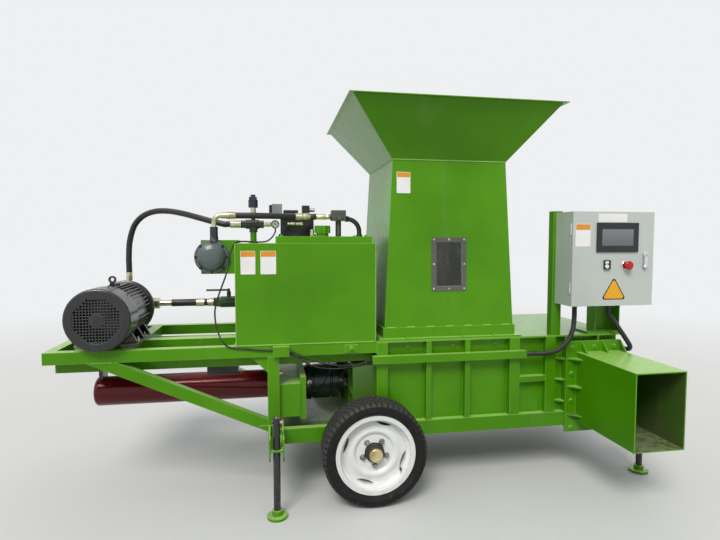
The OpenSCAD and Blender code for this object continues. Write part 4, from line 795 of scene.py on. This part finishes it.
# The riser on the tank: a green socket, black up to a zinc nut, and a blue knob with a black top
RISER_X, RISER_Y, RISER_R = -0.646, -0.15, 0.03
SOCKET_H, NUT_Z, KNOB_Z = 0.064, 1.5315, (1.5615, 1.61)
# Beside it the black tee with its ferrules, the gauge, and green feet on the tank
TEE_HALF, GAUGE_X, FOOT_H = 0.0435, -0.548, 0.01
FERRULES = ((-0.7165, -0.6885), (-0.6135, -0.5855))


def pressure_part(c, n):
    if c.x > GAUGE_X:
        return 4
    if math.hypot(c.x - RISER_X, c.y - RISER_Y) < RISER_R:
        if c.z < TANK_TOP + SOCKET_H:
            return 2
        if c.z > KNOB_Z[0]:
            return 3 if c.z < KNOB_Z[1] else 1
        return 0 if c.z > NUT_Z else 1
    if abs(c.x - RISER_X) < TEE_HALF or any(a < c.x < b for a, b in FERRULES):
        return 1
    return 2 if c.z < TANK_TOP + FOOT_H else 0


dress("pressure_fittings", [ZINC, BLACK, GREEN, BLUE_PLASTIC, DARK_BLOCK], pressure_part)

# The grey filter in front of its green box, with a black union and a zinc elbow on top
FILTER_TOP_Z, UNION_TOP_Z, FILTER_BACK_Y = 1.3755, 1.4481, -0.2201


def filter_part(c, n):
    if c.z > FILTER_TOP_Z:
        return 2 if c.z < UNION_TOP_Z else 3
    return int(c.y < FILTER_BACK_Y)


dress("return_filter", [GREEN, FILTER, BLACK, ZINC], filter_part)
CAST_X = -0.21
dress("valve_block", [DARK_BLOCK, CAST], lambda c, n: int(c.x > CAST_X))
COIL_X, PLUNGER_X = (-0.5379, -0.4779), -0.3119
dress("solenoid_valves", [PLASTIC, GREY_PLASTIC, STEEL],
      lambda c, n: 1 if COIL_X[0] < c.x < COIL_X[1] else 2 if c.x > PLUNGER_X else 0)
FILLER_ZINC_X = -0.294
dress("filler_cap", [GREEN, ZINC], lambda c, n: int(c.x < FILLER_ZINC_X))
# On the door from left to right: the black twin button, the red stop button and the handle
STOP_X, HANDLE_X = 1.33, 1.46
dress("door_controls", [RED_PLASTIC, PLASTIC, POLISHED],
      lambda c, n: 2 if c.x > HANDLE_X else 0 if c.x > STOP_X else 1)

# Tyres: tread blocks and sidewall rings on a turned carcass, with a painted shade between the
# blocks and a painted highlight on them

BLOCKS = 56
PITCH = math.tau / BLOCKS
GROOVE = 0.0065
CROWN = TYRE_R - GROOVE
RUBBER_GROOVE_R = 0.2558
# Rows of tread blocks: place across, half the width and lean in metres, shift in pitches
TREAD_ROWS = ((-0.052, 0.0115, 0.004, 0.0), (-0.026, 0.0105, -0.005, 0.5),
              (0.0, 0.0105, 0.0, 0.0), (0.026, 0.0105, 0.005, 0.5),
              (0.052, 0.0115, -0.004, 0.0))
BLOCK_GAP, BLOCK_TAPER, CROWN_DROP = 0.08, 0.92, 0.0016
# Radius and place across: up the sidewall, and down the lugs, outside and at their foot
SIDEWALL = [(0.1905, 0.065), (0.2085, 0.065), (0.2125, 0.0735), (0.217, 0.078),
            (0.2185, 0.08), (0.2215, 0.0805), (0.2225, 0.0808), (0.23, 0.0858),
            (0.232, 0.0868), (0.2345, 0.087), (0.2355, 0.0868), (0.241, 0.0872),
            (0.248, 0.0868), (0.2545, 0.0845), (0.2555, 0.0848), (0.257, 0.0842),
            (0.2578, 0.0822), (0.262, 0.078), (0.2645, 0.072)]
LUG_TOP = ((TYRE_R - 0.0028, 0.064), (0.2672, 0.0745), (0.263, 0.08), (0.258, 0.0836))
LUG_FOOT = ((TYRE_R - 0.009, 0.062), (0.263, 0.069), (0.259, 0.0745), (0.2555, 0.08))
LUG_GAP = 0.12


def tyre_piece(name, node, body):
    centre = middle(node)
    base = [(CROWN - 0.0015, -0.06), (CROWN, -0.03), (CROWN, 0.03), (CROWN - 0.0015, 0.06)]
    left = [(r, -d) for r, d in SIDEWALL]
    bm = bmesh.new()
    lathe(bm, centre, Y, left + base + SIDEWALL[::-1], 96, capped=False)
    for f in bm.faces:
        c = f.calc_center_median() - centre
        # painted shade: the carcass beyond this radius, between the tread blocks, takes the
        # near-black rubber
        f.material_index = int(math.hypot(c.x, c.z) > RUBBER_GROOVE_R)
    side, up, way = basis(Y)

    def spot(radius, angle, across):
        return bm.verts.new(centre + across * way + radius * turned(side, up, angle))

    for across, half, lean, shift in TREAD_ROWS:
        top_r = TYRE_R - 0.0002 - CROWN_DROP * (abs(across) / 0.052) ** 2
        for k in range(BLOCKS):
            a0 = (k + shift + BLOCK_GAP) * PITCH
            a1 = (k + shift + 1 - BLOCK_GAP) * PITCH
            mid = (a0 + a1) / 2
            foot, top = [], []
            for angle, edge in ((a0, -half), (a1, -half), (a1, half), (a0, half)):
                angle += lean * edge / half / TYRE_R
                foot.append(spot(CROWN - 0.003, angle, across + edge))
                top.append(spot(top_r, mid + (angle - mid) * BLOCK_TAPER,
                                across + edge * BLOCK_TAPER))
            skin(bm, [foot, top], 2, capped=False)
            face(bm, top, 2)
    # Shoulder lugs that run down the sidewall
    for sign in (-1, 1):
        for k in range(BLOCKS):
            angles = ((k + LUG_GAP) * PITCH, (k + 1 - LUG_GAP) * PITCH)
            tops = [[spot(r, a, sign * d) for a in angles] for r, d in LUG_TOP]
            feet = [[spot(r, a, sign * d) for a in angles] for r, d in LUG_FOOT]
            for i in range(3):
                face(bm, (tops[i][0], tops[i][1], tops[i + 1][1], tops[i + 1][0]), 2)
                for s in (0, 1):
                    face(bm, (tops[i][s], tops[i + 1][s], feet[i + 1][s], feet[i][s]))
            for i in (0, 3):
                face(bm, (tops[i][0], tops[i][1], feet[i][1], feet[i][0]))
    piece = finish_piece(name, bm, [TYRE, TYRE_GROOVE_SHADE, TYRE_TREAD_HIGHLIGHT], body, 30)
    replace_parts(piece, node)


tyre_piece("tyre_near_tread", "tyre_near", "wheel_near")
tyre_piece("tyre_far_tread", "tyre_far", "wheel_far")

# Wheel nuts, the knurled ring of the hub cap and the tyre valves

NUTS = 5
FIRST_NUT = 55
NUT_CIRCLE = 0.066
DISC_OUT = 0.026
KNURLS = 60
KNURL_OUT, KNURL_L, KNURL_R = 0.0425, 0.0085, (0.0409, 0.0424)
VALVE_CIRCLE, VALVE_OUT, VALVE_TURN = 0.168, 0.034, -0.6
for which, sign in (("near", -1), ("far", 1)):
    centre = middle(f"tyre_{which}")
    out = Vector((0, sign, 0))
    bm = bmesh.new()
    for k in range(NUTS):
        a = math.radians(FIRST_NUT + 360 / NUTS * k)
        foot = centre + DISC_OUT * out + NUT_CIRCLE * turned(X, Z, a)
        lathe(bm, foot - 0.0005 * out, out, [(0.0165, 0), (0.016, 0.002), (0.0125, 0.004)], 24, 0)
        hex_bolt(bm, foot + 0.001 * out, out, 0.0215, 0.0135, 0.006, 0, a)
    side, up, way = basis(out)
    knurled = []
    for d in (KNURL_OUT, KNURL_OUT + KNURL_L):
        knurled.append([bm.verts.new(centre + d * way + KNURL_R[k % 2]
                                     * turned(side, up, k * math.pi / KNURLS))
                        for k in range(2 * KNURLS)])
    skin(bm, knurled, 1)
    stem_way = turned(X, Z, VALVE_TURN)
    lathe(bm, centre + VALVE_CIRCLE * stem_way + VALVE_OUT * out, out - 0.35 * stem_way,
          [(0.0075, -0.006), (0.0075, 0.004), (0.0045, 0.012), (0.0045, 0.02),
           (0.0052, 0.021), (0.0052, 0.03), (0.004, 0.032)], 20, 2)
    finish_piece(f"wheel_fasteners_{which}", bm, [NUT_GREY, BLACK, PLASTIC], f"wheel_{which}")

# Bolts of the chute, the hopper, the chamber, the frame, the motor and the tank's lid

bm = bmesh.new()
painted = bmesh.new()
# Round the chute's flange: x, z and turn
for x, z, turn in ((1.164, 0.283, 28.3), (1.164, 0.443, 44.3), (1.164, 0.602, 60.2),
                   (1.164, 0.754, 75.4), (1.306, 0.754, 130.6), (1.434, 0.754, 143.4)):
    foot = land("chute", Vector((x, CLEAR_Y, z)), Y)
    hex_bolt(painted, foot, -Y, 0.019, 0.009, turn=turn)
for x, wall_x in ((186, 194), (509, 455), (694, 712)):
    foot = land("hopper_base", Vector((x * MM, -0.482, 1.2)), -Z)
    hex_bolt(painted, foot, Z, 0.016, 0.006, turn=x * 0.1)
    foot = land("chamber_wall_near", Vector((wall_x * MM, CLEAR_Y, 0.783)), Y)
    hex_bolt(painted, foot, -Y, 0.016, 0.007, 0.006, turn=x * 0.13)
foot = land("bay_post_near", Vector((-0.3, -0.48, 0.672)), -X)
hex_bolt(bm, foot, X, 0.016, 0.008, 0.008, turn=0.4)
foot = land("deck_side_beam_near", Vector((-0.126, CLEAR_Y, 0.793)), Y)
hex_bolt(painted, foot, -Y, 0.019, 0.009, turn=0.2)
MOTOR_BOLT_X, MOTOR_BOLT_Y = 0.132, (-0.325, -0.19)
for x in (MOTOR.x - MOTOR_BOLT_X, MOTOR.x + MOTOR_BOLT_X):
    for y in MOTOR_BOLT_Y:
        foot = land("motor", Vector((x, y, 0.87)), -Z)
        hex_bolt(bm, foot, Z, 0.019, 0.01, 0.01, turn=y * 9)
LID_BOLT_IN = Vector((0.03, 0.03, 0))
lid_low, lid_high = low("tank_lid") + LID_BOLT_IN, high("tank_lid") - LID_BOLT_IN
for x in (lid_low.x, middle("tank_lid").x - 0.06, lid_high.x):
    for y in (lid_low.y, lid_high.y):
        hex_bolt(painted, Vector((x, y, lid_high.z)), Z, 0.016, 0.007, turn=x * 9)
finish_piece("frame_bolts", bm, [ZINC], "machine")
finish_piece("painted_bolts", painted, [GREEN], "machine")

# Small screws: filter cover, window frame, fan cowl, terminal box

bm = bmesh.new()
FILTER_MID = Vector((-0.872, OUTSIDE_Y, 1.28))
FILTER_BOLTS, FILTER_BOLT_R = 8, 0.0855
for k in range(FILTER_BOLTS):
    a = math.tau / FILTER_BOLTS * k
    foot = land("return_filter", FILTER_MID + FILTER_BOLT_R * turned(X, Z, a), Y)
    hex_bolt(bm, foot, -Y, 0.01, 0.005, material=1, turn=a)
WINDOW = middle("window_frame")
WINDOW_HALF = size("window_frame") / 2
WINDOW_SCREW_IN = 0.013
for i in (-1, 0, 1):
    for j in (-1, 0, 1):
        if i or j:
            start = Vector((WINDOW.x + i * (WINDOW_HALF.x - WINDOW_SCREW_IN), OUTSIDE_Y,
                            WINDOW.z + j * (WINDOW_HALF.z - WINDOW_SCREW_IN)))
            round_screw(bm, land("window_frame", start, Y), -Y, 0.0062)
for k in range(4):
    way = turned(X, Z, math.radians(45 + 90 * k))
    start = Vector((MOTOR.x, high("fan_cowl").y - 0.022, MOTOR.z)) + 0.3 * way
    round_screw(bm, land("fan_cowl", start, -way) - 0.0012 * way, way, 0.007, 1)
for y in (-0.322, -0.198):
    for z in (MOTOR.z - 0.04, MOTOR.z + 0.05):
        round_screw(bm, Vector((low("motor").x, y, z)), -X, 0.0055)
finish_piece("small_screws", bm, [ZINC, DARK_BLOCK], "machine")

# Pale lip of the window's seal, just inside the frame

bm = bmesh.new()
STRIP = 0.026
SEAL = 0.0022
HALF_X = WINDOW_HALF.x - STRIP
HALF_Z = WINDOW_HALF.z - STRIP
for x, z, reach_x, reach_z in (
    (0, HALF_Z - SEAL / 2, HALF_X, 0), (0, SEAL / 2 - HALF_Z, HALF_X, 0),
    (HALF_X - SEAL / 2, 0, 0, HALF_Z), (SEAL / 2 - HALF_X, 0, 0, HALF_Z),
):
    first, last = (land("window_pane", Vector((WINDOW.x + x + k * reach_x, OUTSIDE_Y,
                                               WINDOW.z + z + k * reach_z)), Y)
                   for k in (-1, 1))
    run = last - first
    rounded_plate(bm, (first + last) / 2, run, run.cross(Y), run.length, SEAL, 0.0012, 0.0008)
finish_piece("window_seal", bm, [GREY_PLASTIC], "machine")

# Weld beads, painted over, in a paler green as a painted highlight

bm = bmesh.new()
NECK_HALF = 0.33
NECK_X = (HOPPER_X - NECK_HALF, HOPPER_X + NECK_HALF)
NECK_Y = (MID_Y - NECK_HALF, MID_Y + NECK_HALF)
neck_z = low("hopper_flare").z + 0.001
for y in NECK_Y:
    weld(bm, (NECK_X[0], y, neck_z), (NECK_X[1], y, neck_z))
for x in NECK_X:
    weld(bm, (x, NECK_Y[0], neck_z), (x, NECK_Y[1], neck_z))
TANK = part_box("oil_tank")
for x in (TANK[0].x, TANK[1].x):
    for y in (TANK[0].y, TANK[1].y):
        weld(bm, (x, y, TANK[0].z + 0.004), (x, y, TANK[1].z), 0.007)
for y in (TANK[0].y, TANK[1].y):
    weld(bm, (TANK[0].x, y, TANK[0].z + 0.002), (TANK[1].x, y, TANK[0].z + 0.002))
base_z = high("hopper_base").z
STITCHES, STITCH_L = 7, 0.05
for k in range(STITCHES):
    reach = k * (size("hopper_base").x - 2 * STITCH_L) / (STITCHES - 0.5)
    x = low("hopper_base").x + STITCH_L + reach
    y = land("hopper_shaft", Vector((x, OUTSIDE_Y, base_z + 0.002)), Y).y
    weld(bm, (x, y, base_z), (x + STITCH_L, y, base_z))
brace_y = low("brace_near").y + 0.002
for x, z in ((-1.379, 0.765), (-0.57, 0.399)):
    weld(bm, (x - 0.05, brace_y, z), (x + 0.05, brace_y, z))
# Left and right edges of the chamber's posts and ribs
POSTS = ((0.014, 0.074), (0.787, 0.847), (1.008, 1.068))
RIBS = ((0.294, 0.322), (0.52, 0.548))
foot_z = high("bottom_beam_near").z
for x0, x1 in POSTS + RIBS:
    weld(bm, (x0, FRAME_Y + 0.001, foot_z), (x1, FRAME_Y + 0.001, foot_z), 0.007)
finish_piece("weld_beads", bm, [GREEN_SEAM_HIGHLIGHT], "machine")

# Bare labels on the tank and the hopper: white fields with a coloured head

bm = bmesh.new()
LABEL_Z, LABEL_H = 1.2585, 0.121
for x, width in ((-0.6637, 0.075), (-0.5607, 0.08)):
    foot = Vector((x, FRAME_Y, LABEL_Z))
    rounded_plate(bm, foot, X, Z, width, LABEL_H, 0.0005)
    rounded_plate(bm, foot + Z * LABEL_H * 0.37, X, Z, width - 0.004, LABEL_H * 0.24, 0.0008,
                  0.002, 1)
wall_top, wall_low = (land("hopper_shaft", Vector((0.175, OUTSIDE_Y, z)), Y) for z in (1.72, 1.66))
wall_up = (wall_top - wall_low).normalized()
foot = (wall_top + wall_low) / 2
rounded_plate(bm, foot, X, wall_up, 0.078, 0.116, 0.0006)
rounded_plate(bm, foot + wall_up * 0.043, X, wall_up, 0.074, 0.026, 0.0009, 0.002, 1)
finish_piece("machine_labels", bm, [LABEL_WHITE, LABEL_ORANGE], "machine")

# What is on the cabinet's door

DOOR_FINISHES = [DISPLAY, LABEL_WHITE, LABEL_ORANGE, LABEL_YELLOW, LABEL_BLACK, POLISHED]
GLASS, PAPER, ORANGE, YELLOW, DARK, BRIGHT = range(len(DOOR_FINISHES))
# Width and height of the screen's frame and case beside its glass
SCREEN_RIM = (0.061, 0.069)


def on_door(right, up):
    """A point on the door's face, from the cabinet's left edge and underside."""
    return low("cabinet_door") + Vector((right, 0, up))


bm = bmesh.new()
start = middle("touch_screen")
start.y = OUTSIDE_Y
screen_size = size("touch_screen")
rounded_plate(bm, land("touch_screen", start, Y), X, Z, screen_size.x - SCREEN_RIM[0],
              screen_size.z - SCREEN_RIM[1], 0.0006, 0.002, GLASS)
rounded_plate(bm, on_door(0.066, 0.388), X, Z, 0.088, 0.122, 0.0006, 0.003, PAPER)
rounded_plate(bm, on_door(0.066, 0.432), X, Z, 0.084, 0.03, 0.0009, 0.002, ORANGE)
rounded_plate(bm, on_door(0.243, 0.482), X, Z, 0.174, 0.046, 0.0006, 0.002, PAPER)
MUSHROOM = on_door(0.326, 0.223)
lathe(bm, MUSHROOM, -Y, [(0.0245, -0.0005), (0.0245, 0.003), (0.0215, 0.0055)], 40, BRIGHT)
TWIN = land("door_controls", on_door(0.205, 0.227) - 0.2 * Y, Y)
rounded_plate(bm, TWIN + 0.0125 * Z, X, Z, 0.02, 0.012, 0.0025, 0.003, PAPER)
lathe(bm, TWIN - 0.009 * Z, -Y, [(0.0112, -0.0005), (0.0112, 0.004), (0.01, 0.0054)], 28, PAPER)
APEX, BASE_HALF, BASE_UP = (0.26, 0.148), 0.066, 0.04
BLUNT = 0.09


def triangle(inset, lift, material):
    """A triangular plate with blunt corners, smaller by inset on every side."""
    mid = (APEX[1] + 2 * BASE_UP) / 3
    points = []
    for px, pz in (APEX, (APEX[0] - BASE_HALF, BASE_UP), (APEX[0] + BASE_HALF, BASE_UP)):
        dx, dz = px - APEX[0], pz - mid
        reach = math.hypot(dx, dz)
        k = (reach - 2 * inset) / reach
        for turn in (-BLUNT, BLUNT):
            c, s = math.cos(turn), math.sin(turn)
            points.append(on_door(APEX[0] + k * (dx * c - dz * s), mid + k * (dx * s + dz * c)))
    back, front = ([bm.verts.new(p - d * Y) for p in points] for d in (-0.0003, lift))
    skin(bm, [back, front], material, capped=False)
    face(bm, front, material)


triangle(0.0, 0.0006, DARK)
triangle(0.0048, 0.0009, YELLOW)
# Swing handle: a round boss with its dark lock, a waisted grip and a round foot
LATCH = land("door_controls", on_door(0.439, 0.253) - 0.2 * Y, Y)
BOSS = LATCH + 0.026 * Z
lathe(bm, BOSS, -Y,
      [(0.0125, -0.01), (0.0125, 0.004), (0.0112, 0.0056), (0.0072, 0.0062), (0.0066, 0.005),
       (0.002, 0.005)], 36, BRIGHT)
lathe(bm, BOSS - 0.0049 * Y, -Y, [(0.0042, 0.0), (0.0042, 0.0006)], 20, DARK)
GRIP_SECTION = ((-1, 0.0), (-0.92, 0.62), (-0.5, 0.95), (0, 1.05), (0.5, 0.95), (0.92, 0.62),
                (1, 0.0))
grip = []
for k in range(9):
    t = k / 8
    half_w = 0.0078 - 0.0018 * math.sin(math.pi * t)
    rise = 0.0035 + 0.003 * math.sin(math.pi * min(1.0, t * 1.2))
    grip.append([bm.verts.new(LATCH + Vector((x * half_w, 0.001 - y * rise, 0.018 - 0.054 * t)))
                 for x, y in GRIP_SECTION])
for lower, upper in zip(grip, grip[1:]):
    for i in range(len(GRIP_SECTION) - 1):
        face(bm, (lower[i], lower[i + 1], upper[i + 1], upper[i]), BRIGHT)
face(bm, grip[0], BRIGHT)
face(bm, grip[-1], BRIGHT)
lathe(bm, LATCH - 0.038 * Z, -Y, [(0.0085, -0.005), (0.0085, 0.0016), (0.007, 0.003)], 28,
      BRIGHT)
finish_piece("door_face_details", bm, DOOR_FINISHES, "cabinet_door")

# Floor and light

BACKGROUND = (0.86, 0.87, 0.88, 1.0)
FLOOR_SEEN = ((0.625, 0.625, 0.615, 1), (0.64, 0.64, 0.63, 1))
FLOOR_LIGHTING = (0.26, 0.27, 0.24, 1)
FLOOR_R, FLOOR_T = 14.0, 0.02
FADE = (3.0, 9.0)
SKY_LOW, SKY_HIGH, SKY_STRENGTH = (0.4, 0.41, 0.43, 1), (1.06, 1.08, 1.1, 1), 0.72


def floor_finish():
    """Pale floor that turns into the background far from the object."""
    f = Finish("pale_floor", 0.75)
    pale = f.mix(f.remap(f.noise(0.9, 5.0, 0.6), 0.3, 0.7), *FLOOR_SEEN)
    f.surface("Base Color", f.mix(f.looking_rays(), FLOOR_LIGHTING, pale))
    f.bump(f.noise(60.0, 4.0, 0.6), 0.15, 0.002)
    far = f.add("ShaderNodeVectorMath", {0: f.place}, operation="LENGTH").outputs["Value"]
    glow = f.add("ShaderNodeEmission", {"Color": BACKGROUND})
    join = f.add("ShaderNodeMixShader", {0: f.remap(far, *FADE), 1: f.bsdf.outputs[0],
                                         2: glow.outputs[0]})
    f.put(join.outputs[0], f.tree.nodes["Material Output"].inputs["Surface"])
    return f.material


bm = bmesh.new()
lathe(bm, Vector((0, 0, -FLOOR_T)), Z, [(FLOOR_R, 0.0), (FLOOR_R, FLOOR_T - 0.0001)], 96)
mesh = bpy.data.meshes.new("floor")
bm.to_mesh(mesh)
bm.free()
mesh.materials.append(floor_finish())
floor = in_scene("floor", mesh)

# The sky lights the object, and the rays that look at it see the plain background instead

world = bpy.data.worlds.new("sky")
bpy.context.scene.world = world
world.use_nodes = True
world.node_tree.nodes.clear()
sky = Nodes(world.node_tree)
view = sky.add("ShaderNodeTexCoord").outputs["Generated"]
height = sky.add("ShaderNodeMapRange", {
    "From Min": -0.1, "From Max": 0.9,
    "Value": sky.add("ShaderNodeSeparateXYZ", {0: view}).outputs["Z"]})
lit = sky.add("ShaderNodeBackground", {
    "Color": sky.mix(height.outputs[0], SKY_LOW, SKY_HIGH), "Strength": SKY_STRENGTH})
seen = sky.add("ShaderNodeBackground", {"Color": BACKGROUND, "Strength": 1.0})
join = sky.add("ShaderNodeMixShader", {0: sky.looking_rays(), 1: lit.outputs[0],
                                       2: seen.outputs[0]})
sky.add("ShaderNodeOutputWorld", {"Surface": join.outputs[0]})

sun_data = bpy.data.lights.new("sun", "SUN")
sun_data.energy = 2.1
sun_data.angle = math.radians(24)
sun_data.color = (1.0, 0.98, 0.94)
in_scene("sun", sun_data).rotation_euler = (math.radians(38), math.radians(-22), 0.0)

bpy.context.scene.view_settings.view_transform = "Standard"

bpy.context.view_layer.update()
